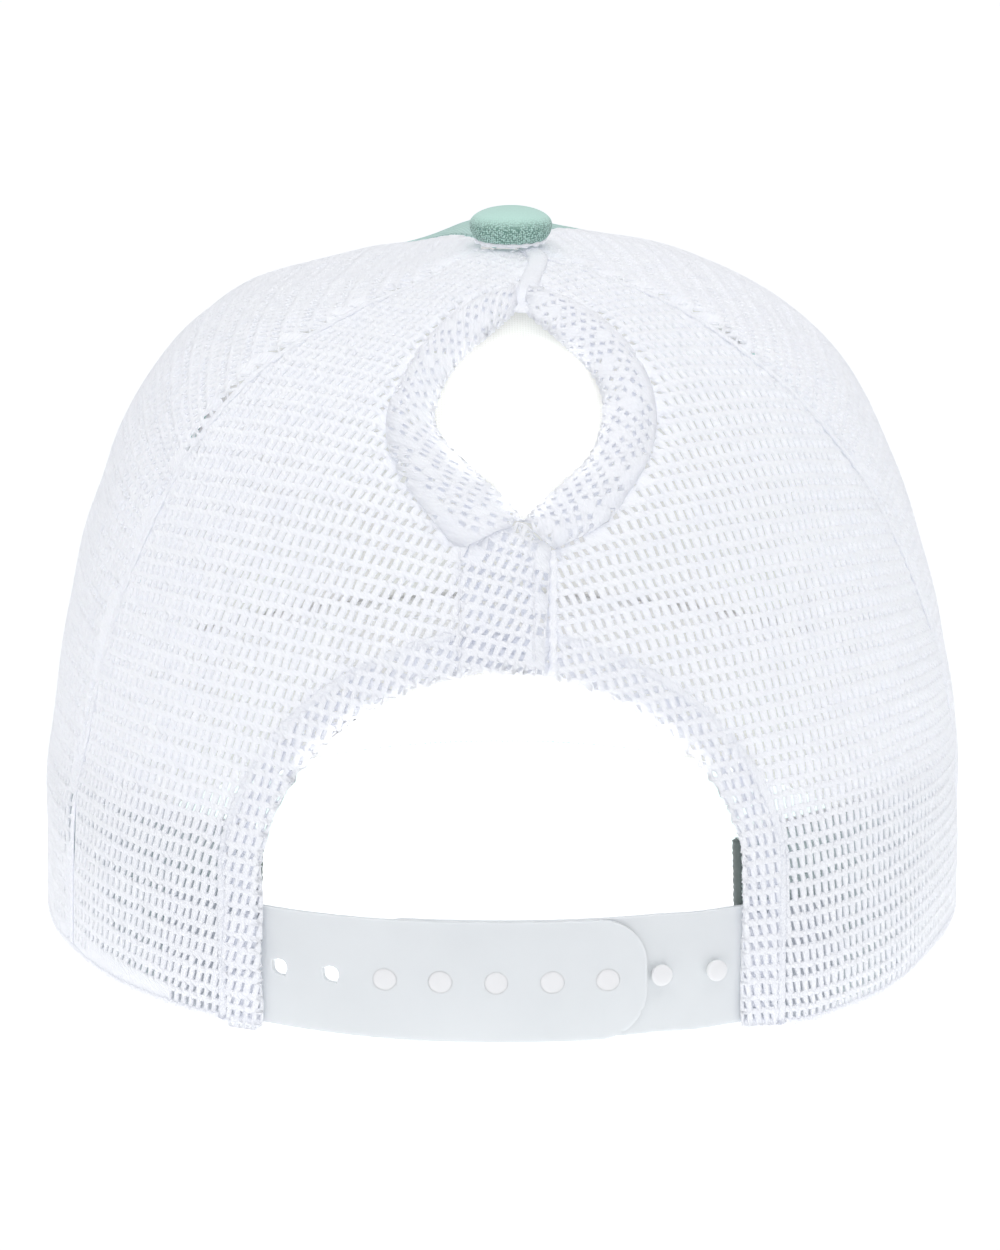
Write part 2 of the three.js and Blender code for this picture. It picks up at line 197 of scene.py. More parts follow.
# Knitted polyester: bright matte filament loops that let light through. The yarn also glows a little bluish,
# as painted fill light, so that its hollows stay pale.
def makeKnitMaterial(name, values):
    material, tree = newMaterial(name)
    place = {"Vector": addNode(tree, "ShaderNodeUVMap", {"uv_map": "cloth"}).outputs["UV"]}
    loops = addNode(tree, "ShaderNodeTexWave", {
        "bands_direction": "DIAGONAL", "Scale": waveScale(values["loopPitch"]),
        "Distortion": 3.0, "Detail": 1.0, "Detail Scale": 2.0,
    }, place)
    tone = addNode(tree, "ShaderNodeTexNoise", {"Scale": 1000 / values["tonePatch"], "Detail": 2.0}, place)
    colour = addNode(tree, "ShaderNodeMix", {
        "data_type": "RGBA", 6: toLinear(values["shade"]), 7: toLinear(values["light"]),
    }, {0: tone.outputs["Fac"]})
    fluff = addNode(tree, "ShaderNodeTexNoise", {"Scale": 1000 / values["fluff"], "Detail": 3.0}, place)
    height = addNode(tree, "ShaderNodeMath", {"operation": "MULTIPLY_ADD", 1: values["fluffShare"]},
                     {0: fluff.outputs["Fac"], 2: loops.outputs["Fac"]})
    return finishMaterial(material, height.outputs["Value"], (0.6, values["loopDepth"]), {
        "Roughness": 0.62, "IOR": 1.5, "Sheen Weight": 0.15, "Sheen Roughness": 0.4,
        "Subsurface Weight": 1.0, "Subsurface Radius": (1.0, 1.0, 1.0),
        "Subsurface Scale": values["scatterReach"] / 1000,
        # painted fill light: a faint bluish glow that keeps the holes pale
        "Emission Color": toLinear(values["paintedGlowColour"]), "Emission Strength": values["paintedGlowStrength"],
    }, {"Base Color": colour.outputs[2]})


# Woven cotton: yarns cross over and under, so it shades in small dimples, partly by its bump and partly by
# painted shade, as the pits between yarns are coloured darker. They are drawn at 0.55 to 0.7 mm, coarser than
# real ones, so that they show.
def makeWovenMaterial(name, values):
    material, tree = newMaterial(name)
    place = {"Vector": addNode(tree, "ShaderNodeUVMap", {"uv_map": "cloth"}).outputs["UV"]}
    yarns = {}
    for number, way in enumerate(("X", values["weftWay"])):
        yarns[number] = addNode(tree, "ShaderNodeTexWave", {
            "bands_direction": way, "Scale": waveScale(values["yarn"]), "Distortion": 0.6, "Detail": 1.0,
        }, place).outputs["Fac"]
    crossing = addNode(tree, "ShaderNodeMath", {"operation": "MAXIMUM"}, yarns)
    fuzz = addNode(tree, "ShaderNodeTexNoise", {"Scale": 1000 / values["fuzz"], "Detail": 3.0}, place)
    patch = addNode(tree, "ShaderNodeTexNoise", {"Scale": 1000 / 22, "Detail": 1.0}, place)    # 22 mm wide
    # painted shade: the pit colour darkens the gaps between yarns
    thread = addNode(tree, "ShaderNodeMix", {
        "data_type": "RGBA", 6: toLinear(values["pitShadeColour"]), 7: toLinear(values["yarnColour"]),
    }, {0: crossing.outputs["Value"]})
    colour = addNode(tree, "ShaderNodeMix", {
        "data_type": "RGBA", "blend_type": "SOFT_LIGHT", 0: 0.18,
    }, {6: thread.outputs[2], 7: patch.outputs["Color"]})
    height = addNode(tree, "ShaderNodeMath", {"operation": "MULTIPLY_ADD", 1: values["fuzzShare"]},
                     {0: fuzz.outputs["Fac"], 2: crossing.outputs["Value"]})
    return finishMaterial(material, height.outputs["Value"], (0.7, values["depth"]), {
        "Roughness": 0.86, "IOR": 1.46, "Sheen Weight": 0.3, "Sheen Roughness": 0.45,
    }, {"Base Color": colour.outputs[2]})


# Button cover: canvas, smooth and pale over the top. Below, the gaps of its weave are painted dark, as
# painted shade on the button's underside that fades out towards the top. Its cells are taken from space, so
# that they lie in arcs as gathered yarns do.
def makeButtonMaterial(name, values):
    material, tree = newMaterial(name)
    place = addNode(tree, "ShaderNodeTexCoord").outputs["Object"]
    weave = addNode(tree, "ShaderNodeTexVoronoi", {"Scale": 1000 / values["yarn"], "Randomness": 0.6},
                    {"Vector": place})
    parts = addNode(tree, "ShaderNodeSeparateXYZ", {}, {0: place})
    # painted shade: weave gaps darken below a height and fade out above it
    shadedBelow = addNode(tree, "ShaderNodeMapRange", {
        "interpolation_type": "SMOOTHSTEP", "From Min": values["fullShadeBelow"] / 1000,
        "From Max": values["noShadeAbove"] / 1000, "To Min": 1.0, "To Max": 0.04,
    }, {"Value": parts.outputs["Z"]})
    gap = addNode(tree, "ShaderNodeMapRange", {
        "interpolation_type": "SMOOTHSTEP", "From Min": 0.34, "From Max": 0.62,
    }, {"Value": weave.outputs["Distance"]})
    share = addNode(tree, "ShaderNodeMath", {"operation": "MULTIPLY"},
                    {0: gap.outputs["Result"], 1: shadedBelow.outputs["Result"]})
    colour = addNode(tree, "ShaderNodeMix", {
        "data_type": "RGBA", 6: toLinear(values["yarnColour"]), 7: toLinear(values["pitShadeColour"]),
    }, {0: share.outputs["Value"]})
    height = addNode(tree, "ShaderNodeMath", {"operation": "SUBTRACT", 0: 1.0}, {1: share.outputs["Value"]})
    return finishMaterial(material, height.outputs["Value"], (0.8, values["depth"]), {
        "Roughness": 0.85, "IOR": 1.46, "Sheen Weight": 0.25, "Sheen Roughness": 0.45,
    }, {"Base Color": colour.outputs[2]})


# Sewing thread: two-ply polyester, a little shiny, its twist seen as slanting bands
def makeThreadMaterial(name, values):
    material, tree = newMaterial(name)
    place = addNode(tree, "ShaderNodeTexCoord").outputs["Object"]
    twist = addNode(tree, "ShaderNodeTexWave", {
        "bands_direction": "DIAGONAL", "Scale": waveScale(values["twist"]),
    }, {"Vector": place})
    return finishMaterial(material, twist.outputs["Fac"], (0.5, 0.06), {
        "Base Color": toLinear(values["colour"]), "Roughness": 0.45, "IOR": 1.5, "Sheen Weight": 0.2,
    }, {})


# Snap strap: moulded low density polyethylene, milky and satin, with a faint flow of tone
def makePlasticMaterial(name, values):
    material, tree = newMaterial(name)
    place = {"Vector": addNode(tree, "ShaderNodeTexCoord").outputs["Object"]}
    flow = addNode(tree, "ShaderNodeTexNoise", {"Scale": 1000 / values["flow"], "Detail": 2.0}, place)
    colour = addNode(tree, "ShaderNodeMix", {
        "data_type": "RGBA", 6: toLinear(values["shade"]), 7: toLinear(values["light"]),
    }, {0: flow.outputs["Fac"]})
    grain = addNode(tree, "ShaderNodeTexNoise", {"Scale": 1000 / values["grain"], "Detail": 2.0}, place)
    return finishMaterial(material, grain.outputs["Fac"], (0.2, 0.05), {
        "Roughness": 0.38, "IOR": 1.51, "Subsurface Weight": 1.0,
        "Subsurface Radius": (1.0, 1.0, 1.0), "Subsurface Scale": values["scatterReach"] / 1000,
    }, {"Base Color": colour.outputs[2]})


# Its glow colour and strength are painted fill light, not a lamp.
knitWhite = makeKnitMaterial("knitted polyester mesh", {
    "light": "#f8f8fb", "shade": "#eeeff5", "tonePatch": 5, "loopPitch": 0.55, "loopDepth": 0.16,
    "fluff": 0.9, "fluffShare": 1.6, "scatterReach": 0.9, "paintedGlowColour": "#e6edfc", "paintedGlowStrength": 0.13,
})
# In each woven cloth below, the pit colour is painted shade in the gaps between yarns.
twillMint = makeWovenMaterial("mint cotton twill", {
    "yarnColour": "#cdf0e7", "pitShadeColour": "#a9d5c9", "yarn": 0.55, "fuzz": 0.3, "fuzzShare": 0.5, "depth": 0.16,
    "weftWay": "DIAGONAL",
})
# Its dark pit colour is painted shade on the button's lower part.
buttonCloth = makeButtonMaterial("mint canvas drawn over a metal button", {
    "yarnColour": "#c9eee2", "pitShadeColour": "#769f91", "yarn": 0.38, "depth": 0.2, "fullShadeBelow": 142.3,
    "noShadeAbove": 144.9,
})
whiteThread = makeThreadMaterial("white polyester thread", {"colour": "#f7f8fc", "twist": 0.4})
mintThread = makeThreadMaterial("mint polyester thread", {"colour": "#b4dace", "twist": 0.4})
# Dark grey rolls on the sweatband's cut ends: painted shade, not thread.
bandEndShade = makeThreadMaterial("dark grey painted shade at band ends", {"colour": "#68736f", "twist": 0.9})
bandCotton = makeWovenMaterial("brushed cotton sweatband", {
    "yarnColour": "#e9f4f0", "pitShadeColour": "#dcebe5", "yarn": 0.55, "fuzz": 0.5, "fuzzShare": 1.2, "depth": 0.18,
    "weftWay": "Y",
})
liningCloth = makeWovenMaterial("off-white lining cloth on foam", {
    "yarnColour": "#f0efec", "pitShadeColour": "#eae9e4", "yarn": 0.6, "fuzz": 0.6, "fuzzShare": 0.8, "depth": 0.1,
    "weftWay": "Y",
})
towelCotton = makeWovenMaterial("bleached cotton towelling", {
    "yarnColour": "#f1f0ee", "pitShadeColour": "#ebeae6", "yarn": 0.7, "fuzz": 0.5, "fuzzShare": 1.4, "depth": 0.14,
    "weftWay": "Y",
})
snapPlastic = makePlasticMaterial("milky polyethylene", {
    "light": "#eff2f3", "shade": "#e8ebec", "flow": 16, "grain": 0.6, "scatterReach": 0.4,
})
# Peg heads: the strap's milky polyethylene painted a little lighter, as painted light, so that they read as
# pale discs.
pegPlasticPaintedLight = makePlasticMaterial("milky polyethylene painted lighter", {
    "light": "#f8fafb", "shade": "#f3f6f7", "flow": 16, "grain": 0.6, "scatterReach": 0.4,
})
print("materials made")


# The crown's surface: an angle in degrees from the centre back, growing towards the wearer's left, and a
# level from 0 at the rim to 1 at the top
crown = {
    "halfWidth": 89.5, "backDepth": 92.0, "frontDepth": 99.0, "planPower": 2.15,
    "height": 132.0, "sideRise": 3.0, "frontRise": 10.0, "riseFades": 0.4,
    "restPitch": 4.0, "restPlace": (0.019, 38.741, 5.984),
}
# Share of the crown's height, and of the rim's radius at the side, back and front, at even levels
profile = {
    "height": (0.0, 0.13, 0.26, 0.39, 0.52, 0.645, 0.76, 0.86, 0.935, 0.98, 1.0),
    "side": (1.0, 1.0, 0.997, 0.978, 0.942, 0.892, 0.823, 0.72, 0.552, 0.31, 0.0),
    "back": (1.0, 0.998, 0.988, 0.967, 0.93, 0.87, 0.785, 0.66, 0.48, 0.26, 0.0),
    "front": (0.985, 0.995, 1.0, 0.995, 0.98, 0.945, 0.88, 0.775, 0.6, 0.34, 0.0),
}


# A smooth curve between b and c, with a before them and d after them
def between(a, b, c, d, share):
    return 0.5 * (2 * b + (c - a) * share + (2 * a - 5 * b + 4 * c - d) * share ** 2
                  + (3 * b - a - 3 * c + d) * share ** 3)


def alongProfile(column, level):
    values = np.array(profile[column])
    before = 2 * values[0] - values[1]
    beyond = values[-2] if column == "height" else -values[-2]
    padded = np.concatenate(([before], values, [beyond]))
    at = np.clip(level, 0, 1) * (len(values) - 1)
    i = np.minimum(at.astype(int), len(values) - 2)
    return between(padded[i], padded[i + 1], padded[i + 2], padded[i + 3], at - i)


def mix(a, b, share):
    return a + (b - a) * share


def smooth(value, low, high):
    share = np.clip((value - low) / (high - low), 0, 1)
    return share * share * (3 - 2 * share)


def onOrAboveRim(angle, level):
    s, c = np.sin(np.radians(angle)), np.cos(np.radians(angle))
    depth = np.where(c > 0, crown["backDepth"], crown["frontDepth"])
    power = crown["planPower"]
    plan = (np.abs(s / crown["halfWidth"]) ** power + np.abs(c / depth) ** power) ** (-1 / power)
    end = np.where(c > 0, alongProfile("back", level), alongProfile("front", level))
    radius = plan * mix(alongProfile("side", level), end, c * c)
    z = crown["height"] * alongProfile("height", level)
    rise = np.where(c > 0, crown["sideRise"] * s * s, mix(crown["sideRise"], crown["frontRise"], c * c))
    low = np.maximum(0, 1 - z / (crown["riseFades"] * crown["height"]))
    return np.stack((radius * s, radius * c, z + rise * low * low), -1)


def crownSurface(angle, level):
    angle, level = np.broadcast_arrays(np.asarray(angle, float), np.asarray(level, float))
    points = onOrAboveRim(angle, level)
    if (level < 0).any():
        slope = (onOrAboveRim(angle, np.full(level.shape, 0.01)) - onOrAboveRim(angle, 0 * level)) / 0.01
        points = points + slope * np.minimum(level, 0)[..., None]
    return points


def crownNormal(angle, level):
    angle, level = np.broadcast_arrays(np.asarray(angle, float), np.asarray(level, float))
    around = crownSurface(angle + 0.5, level) - crownSurface(angle - 0.5, level)
    up = crownSurface(angle, np.minimum(level + 0.004, 1)) - crownSurface(angle, level - 0.004)
    normal = np.cross(up, around)
    return normal / np.linalg.norm(normal, axis=-1, keepdims=True)


# The worn cap has sunk a little at its sides and left shoulder, its stiff front peaks at the button and the
# net rises to its foot. Reaches are from one distance to another, in mm, and the rim's hang is that of the
# wearer's right and left.
settled = {
    "left": 1.25, "leftReach": (25, 55), "leftRise": (28, 50), "leftLow": 0.05,
    "shoulder": 2.05, "shoulderIn": (4, 20), "shoulderOut": (30, 52), "shoulderRise": (95, 122),
    "right": 1.75, "rightReach": (24, 62), "rightRise": (35, 95), "rightLow": 0.05,
    "peak": 2.0, "peakReach": 10, "peakRise": (60, 115), "peakForward": (5, 30),
    "crest": 1.0, "crestReach": 10, "crestAside": -1.7,
    "hang": (2.5, 0.7), "hangIn": (43, 60), "hangOut": (70, 85), "hangRise": (2, 45), "hangBack": (5, 30),
}


def settledLift(points):
    x, y, z = points[..., 0], points[..., 1], points[..., 2]
    shoulder = smooth(x, *settled["shoulderIn"]) - smooth(x, *settled["shoulderOut"])
    rise = mix(settled["leftLow"], 1, smooth(z, *settled["leftRise"]))
    left = settled["left"] * smooth(x, *settled["leftReach"]) * rise
    left = left + settled["shoulder"] * shoulder * smooth(z, *settled["shoulderRise"])
    rise = mix(settled["rightLow"], 1, smooth(z, *settled["rightRise"]))
    right = settled["right"] * smooth(-x, *settled["rightReach"]) * rise
    peak = settled["peak"] * np.exp(-(x / settled["peakReach"]) ** 2) * smooth(-y, *settled["peakForward"])
    crest = np.exp(-((x - settled["crestAside"]) ** 2 + y ** 2) / settled["crestReach"] ** 2)
    peak = peak + settled["crest"] * crest
    return peak * smooth(z, *settled["peakRise"]) - left - right


# Its rim hangs lower at the back of each side
def settledHang(points):
    x, y, z = points[..., 0], points[..., 1], points[..., 2]
    aside = smooth(np.abs(x), *settled["hangIn"]) * (1 - smooth(np.abs(x), *settled["hangOut"]))
    low = (1 - smooth(z, *settled["hangRise"])) * smooth(y, *settled["hangBack"])
    return np.where(x < 0, *settled["hang"]) * aside * low


def offCrown(angle, level, lift):
    points = crownSurface(angle, level)
    height = np.asarray(lift) + settledLift(points)
    placed = points + crownNormal(angle, level) * height[..., None]
    placed[..., 2] -= settledHang(points)
    return placed


def toWorld(points):
    pitch = math.radians(crown["restPitch"])
    x, y, z = points[..., 0], points[..., 1], points[..., 2]
    turned = np.stack((x, y * math.cos(pitch) + z * math.sin(pitch),
                       z * math.cos(pitch) - y * math.sin(pitch)), -1)
    return (turned + np.array(crown["restPlace"])) / 1000


def backPlace(x, z):
    x, z = np.asarray(x, float), np.asarray(z, float)
    angle = np.zeros(x.shape)
    for _ in range(5):
        low, high = np.zeros(x.shape), np.ones(x.shape)
        for _ in range(26):
            level = (low + high) / 2
            below = crownSurface(angle, level)[..., 2] < z
            low, high = np.where(below, level, low), np.where(below, high, level)
        radius = np.linalg.norm(crownSurface(angle, level)[..., :2], axis=-1)
        angle = np.degrees(np.arcsin(np.clip(x / radius, -0.99, 0.99)))
    return np.stack((angle, level), -1)


# The knit lies on each panel with its rows square to a grain line that runs from the rim to the top.
# A chart gives places on it in mm: to the right along a row, seen from outside, and up the grain line.
chartLevels = np.concatenate((np.linspace(-0.12, 0.9, 205), np.linspace(0.9, 0.997, 60)[1:]))
chartSteps = np.arange(-120.0, 120.5, 1.0)    # mm along a row


def makeChart(grain, reach):
    levels, steps = chartLevels, chartSteps
    line = crownSurface(grain, levels)
    arc = np.concatenate(([0], np.cumsum(np.linalg.norm(np.diff(line, axis=0), axis=1))))
    arc -= np.interp(0, levels, arc)
    rows = np.arange(math.ceil(arc[0]), arc[-1], 1.0)
    angles = grain + np.arange(-reach, reach + 0.5, 1.0)
    surface = crownSurface(angles[:, None], levels[None, :])
    way = np.gradient(line, arc, axis=0)
    angleTable, levelTable, rowLevels, rowArcs = [], [], [], []
    for row in rows:
        centre = np.array([np.interp(row, arc, line[:, k]) for k in range(3)])
        tangent = np.array([np.interp(row, arc, way[:, k]) for k in range(3)])
        height = (surface - centre) @ tangent
        above = height > 0
        above[:, -1] = True
        first = np.maximum(np.argmax(above, axis=1), 1)
        pick = np.arange(len(angles))
        lower, upper = height[pick, first - 1], height[pick, first]
        share = np.clip(-lower / np.where(upper == lower, 1, upper - lower), 0, 1)
        level = mix(levels[first - 1], levels[first], share)
        points = crownSurface(angles, level)
        along = np.concatenate(([0], np.cumsum(np.linalg.norm(np.diff(points, axis=0), axis=1))))
        along -= along[reach]
        angleTable.append(np.interp(steps, along, angles))
        levelTable.append(np.interp(steps, along, level))
        rowLevels.append(level)
        rowArcs.append(along)
    return {
        "rows": rows, "steps": steps, "angles": angles,
        "angleTable": np.array(angleTable), "levelTable": np.array(levelTable),
        "rowLevels": np.array(rowLevels), "rowArcs": np.array(rowArcs),
    }


def chartToCrown(chart, flat):
    along, up = -flat[:, 0], flat[:, 1]
    column = np.clip(along - chart["steps"][0], 0, len(chart["steps"]) - 1.001)
    row = np.clip(up - chart["rows"][0], 0, len(chart["rows"]) - 1.001)
    i, j = row.astype(int), column.astype(int)
    f, g = row - i, column - j

    def look(table):
        return mix(mix(table[i, j], table[i, j + 1], g), mix(table[i + 1, j], table[i + 1, j + 1], g), f)
    return look(chart["angleTable"]), look(chart["levelTable"])


def crownToChart(chart, places):
    flat = []
    for angle, level in places:
        at = np.clip(angle - chart["angles"][0], 0, len(chart["angles"]) - 1.001)
        i, f = int(at), at - int(at)
        column = mix(chart["rowLevels"][:, i], chart["rowLevels"][:, i + 1], f)
        arcs = mix(chart["rowArcs"][:, i], chart["rowArcs"][:, i + 1], f)
        rising = np.maximum.accumulate(column) + np.arange(len(column)) * 1e-9
        up = np.interp(level, rising, chart["rows"])
        flat.append((-np.interp(up, chart["rows"], arcs), up))
    return np.array(flat)


print("crown charted")


# The nearest place to each point on lines from start to end, how far it is, and the line and share it is at
def nearestPlaces(points, start, end):
    edge = end - start
    span = np.maximum((edge ** 2).sum(1), 1e-12)
    offset = points[:, None, :] - start[None, :, :]
    share = np.clip((offset * edge).sum(2) / span, 0, 1)
    places = start + edge * share[..., None]
    gaps = ((points[:, None, :] - places) ** 2).sum(2)
    best = gaps.argmin(1)
    pick = np.arange(len(points))
    return places[pick, best], np.sqrt(gaps[pick, best]), best, share[pick, best]


# How far outside of closed loops each point lies, and its nearest place on them
def signedDistance(points, loops):
    start = np.vstack(loops)
    end = np.vstack([np.roll(loop, -1, axis=0) for loop in loops])
    nearest, distance, _, _ = nearestPlaces(points, start, end)
    edge = end - start
    straddles = (start[:, 1] > points[:, None, 1]) != (end[:, 1] > points[:, None, 1])
    rise = np.where(edge[:, 1] == 0, 1e-12, edge[:, 1])
    crossing = start[:, 0] + (points[:, None, 1] - start[:, 1]) * edge[:, 0] / rise
    inside = (straddles & (points[:, None, 0] < crossing)).sum(1) % 2 == 1
    return np.where(inside, -1, 1) * distance, nearest


def turnFlat(flat, degrees):
    c, s = math.cos(math.radians(degrees)), math.sin(math.radians(degrees))
    return flat @ np.array(((c, s), (-s, c)))


# Cloth cut to an outline: lattice points near the outline move onto it, and cells past it go
cut = {"snapWithin": 0.6, "leastFace": 0.04}


def cutCloth(name, loops, pitch):
    shapes = [loop / pitch for loop in loops]
    every = np.vstack(shapes)
    low, high = np.floor(every.min(0)) - 1, np.ceil(every.max(0)) + 1
    columns, rows = (high - low).astype(int)
    piece = newGrid(name, int(columns), int(rows))
    lattice = low + (readPoints(piece)[:, :2] + 1) / 2 * (high - low)
    distance, nearest = signedDistance(lattice, shapes)
    snapped = np.abs(distance) < cut["snapWithin"]
    beyond = (distance > 0) & ~snapped
    placed = np.where(snapped[:, None], nearest, lattice) * pitch
    writePoints(piece, np.column_stack((placed, np.zeros(len(placed)))))
    _, areas = faceSizes(piece)
    past = beyond[readCorners(piece.data).reshape(-1, 4)].any(1)
    editFaces(piece, past | (areas < cut["leastFace"] * pitch.prod()), bpy.ops.mesh.delete, type="FACE")
    return piece


# Knitted mesh: rows of short holes and of tall, narrow ones. The hem knit is drawn together. Holes are half
# sizes, "uneven" is how far their sizes, slants and places stray, and cells cut by an edge stay whole.
knit = {
    "pitch": (1.87, 2.84), "strand": 0.9, "corner": 0.3, "thickness": 0.85, "edge": 0.3,
    "shortHole": (0.46, 0.7), "tallHole": (0.36, 0.98), "shortSlant": 0.28, "tallSlant": 0.2,
    "uneven": (0.07, 0.05, 0.09), "leastCell": 0.75, "mostCell": 1.25, "thinnest": 0.15, "closed": 0.0,
}
hemKnit = {
    "pitch": (1.9, 2.2), "strand": 1.05, "corner": 0.24, "thickness": 0.65, "edge": 0.3,
    "shortHole": (0.4, 0.48), "tallHole": (0.36, 0.58), "shortSlant": 0.1, "tallSlant": 0.16,
    "uneven": (0.07, 0.05, 0.14), "leastCell": 0.8, "mostCell": 1.25, "thinnest": 0.2, "closed": 0.1,
}


# Strands are full in the middle and thin at the edges of the holes, as bundles of yarn are
def thinHoleEdges(piece, share):
    mesh = piece.data
    sides = readValues(mesh.loops, "edge_index", int)
    single = np.bincount(sides, minlength=len(mesh.edges)) == 1
    rim = np.unique(readValues(mesh.edges, "vertices", int, 2)[single])
    body = np.setdiff1d(np.arange(len(mesh.vertices)), rim)
    group = piece.vertex_groups.new(name="strand")
    group.add(rim.tolist(), share, "REPLACE")
    group.add(body.tolist(), 1.0, "REPLACE")


def makeKnit(name, outline, bend, values=knit, turn=0.0, shift=(0.0, 0.0), seed=1, lean=1):
    pitch = np.array(values["pitch"])
    piece = cutCloth(name, [turnFlat(outline, -turn) - shift], pitch)

    # Each cell is inset, its inner corners shaped by row and rounded, and its middle taken out
    _, areas = faceSizes(piece)
    share = areas / pitch.prod()
    editFaces(piece, (share > values["leastCell"]) & (share < values["mostCell"]), bpy.ops.mesh.inset,
              thickness=values["strand"] / 2, use_individual=True, use_even_offset=True)
    faces = piece.data.polygons
    inner = readValues(faces, "select", bool)
    starts = readValues(faces, "loop_start", int)
    quads = readCorners(piece.data)[starts[inner][:, None] + np.arange(4)]
    points = readPoints(piece)
    cell = np.floor(points[quads].mean(1)[:, :2] / pitch)
    middle = (cell + 0.5) * pitch
    local = points[quads][..., :2] - middle[:, None, :]
    room = (pitch - values["strand"]) / 2
    regular = np.abs(np.abs(local) - room).max((1, 2)) < 0.02    # whole cells, which the outline left alone
    tall = (cell[:, 1] % 2 == 0)[:, None]
    half = np.where(tall, values["tallHole"], values["shortHole"])
    draw = np.random.default_rng(seed)

    def uneven(size, shape):
        return np.clip(draw.normal(0, size, shape), -1.7 * size, 1.7 * size)
    sizeStray, slantStray, placeStray = values["uneven"]
    half = half * (1 + uneven(sizeStray, half.shape))
    slant = np.where(tall[:, 0], values["tallSlant"], values["shortSlant"]) * lean
    slant = slant + uneven(slantStray, len(half))
    sign = np.sign(local)
    shaped = sign * half[:, None, :]
    shaped[..., 0] += slant[:, None] * sign[..., 1]
    shaped += uneven(placeStray, (len(half), 1, 2))
    limit = pitch / 2 - values["thinnest"]
    shaped = np.clip(shaped, -limit, limit) + middle[:, None, :]
    points[quads[regular], :2] = shaped[regular]
    writePoints(piece, points)
    editFaces(piece, inner, bpy.ops.mesh.bevel, offset=values["corner"], affect="VERTICES", segments=1,
              clamp_overlap=True)
    counts, _ = faceSizes(piece)
    holes = (counts == 8) & (draw.random(len(counts)) >= values["closed"])
    editFaces(piece, holes, bpy.ops.mesh.delete, type="ONLY_FACE")

    flat = turnFlat(readPoints(piece)[:, :2] + shift, turn)
    layUv(piece, flat / 1000)
    writePoints(piece, bend(flat))
    thinHoleEdges(piece, values["edge"])
    applyModifier(piece, "SOLIDIFY", thickness=values["thickness"] / 1000, offset=0, vertex_group="strand")
    return piece


# Shells, rolls and stitches
def gridPlaces(piece, columns, rows):
    points = readPoints(piece)
    i = np.rint((points[:, 0] + 1) / 2 * columns).astype(int)
    j = np.rint((points[:, 1] + 1) / 2 * rows).astype(int)
    return i, j


def arcAlong(points, axis):
    steps = np.linalg.norm(np.diff(points, axis=axis), axis=-1)
    return np.concatenate((np.zeros_like(steps.take([0], axis)), np.cumsum(steps, axis=axis)), axis)


# Points come as rows and columns of places in mm, columns running to the right as seen from outside
def makeShell(name, points, thickness, offset=-1):
    rows, columns = points.shape[0] - 1, points.shape[1] - 1
    piece = newGrid(name, columns, rows)
    i, j = gridPlaces(piece, columns, rows)
    across = arcAlong(points, 1)
    across -= across[:, [columns // 2]]
    up = arcAlong(points, 0)[:, [columns // 2]]
    coords = np.stack((across, np.broadcast_to(up, across.shape)), -1)
    layUv(piece, coords[j, i] / 1000)
    writePoints(piece, toWorld(points[j, i]))
    if thickness:
        thickenShell(piece, thickness, offset=offset)
    return piece


# The pattern runs on over the edges of a shell, as cloth that is wrapped round them
def thickenShell(piece, thickness, **settings):
    count = len(piece.data.vertices)
    applyModifier(piece, "SOLIDIFY", thickness=thickness / 1000, **settings)
    layer = piece.data.uv_layers["cloth"].data
    coords = readValues(layer, "uv", width=2)
    coords[:, 1] += np.where(readCorners(piece.data) >= count, thickness / 1000, 0)
    layer.foreach_set("uv", coords.ravel())


def evenPath(places, lift, spacing):
    dense = smoothLine(places, 40 * len(places)) if len(places) < 30 else np.asarray(places, float)
    points = offCrown(dense[:, 0], dense[:, 1], np.full(len(dense), lift))
    arc = arcAlong(points, 0)
    at = np.linspace(0, arc[-1], max(3, round(arc[-1] / spacing) + 1))
    angle, level = np.interp(at, arc, dense[:, 0]), np.interp(at, arc, dense[:, 1])
    return offCrown(angle, level, np.full(len(at), lift)), crownNormal(angle, level)


def unit(vectors):
    return vectors / np.maximum(np.linalg.norm(vectors, axis=-1, keepdims=True), 1e-9)


def rollAlong(name, path, radius, flatness=1.0, knob=0.0, knobPitch=1.0, sides=10):
    centre, out = path
    along = unit(np.gradient(centre, axis=0))
    across = unit(np.cross(out, along))
    arc = arcAlong(centre, 0)
    radii = radius * (1 + knob * np.sin(arc * math.tau / knobPitch) + 0.5 * knob * np.sin(arc * 2.17 + 1))
    radii[[0, -1]] = 0
    piece = newGrid(name, len(centre) - 1, sides)
    i, j = gridPlaces(piece, len(centre) - 1, sides)
    turn = j * math.tau / sides
    ring = np.cos(turn)[:, None] * out[i] * flatness + np.sin(turn)[:, None] * across[i]
    layUv(piece, np.column_stack((arc[i], radius * turn)) / 1000)
    writePoints(piece, toWorld(centre[i] + radii[i][:, None] * ring))
    editFaces(piece, None, bpy.ops.mesh.remove_doubles, threshold=1e-6)
    return piece


def sewStitches(name, paths, length, width, height):
    deselectAll()
    bpy.ops.mesh.primitive_uv_sphere_add(segments=6, ring_count=4, radius=0.5)
    bead = nameNew(name)
    shape = readPoints(bead)
    faces = [tuple(face.vertices) for face in bead.data.polygons]
    places, allFaces = [], []
    for centre, out in paths:
        along = unit(np.gradient(centre, axis=0))
        across = unit(np.cross(out, along))
        frames = np.stack((across * width, out * height, along * length), 1)
        for spot, axes in zip(centre, frames):
            allFaces += [tuple(v + len(places) * len(shape) for v in face) for face in faces]
            places.append(spot + shape @ axes)
    bead.data.clear_geometry()
    bead.data.from_pydata(toWorld(np.vstack(places)).tolist(), [], allFaces)
    editFaces(bead, None, bpy.ops.mesh.normals_make_consistent, inside=False)
    return bead


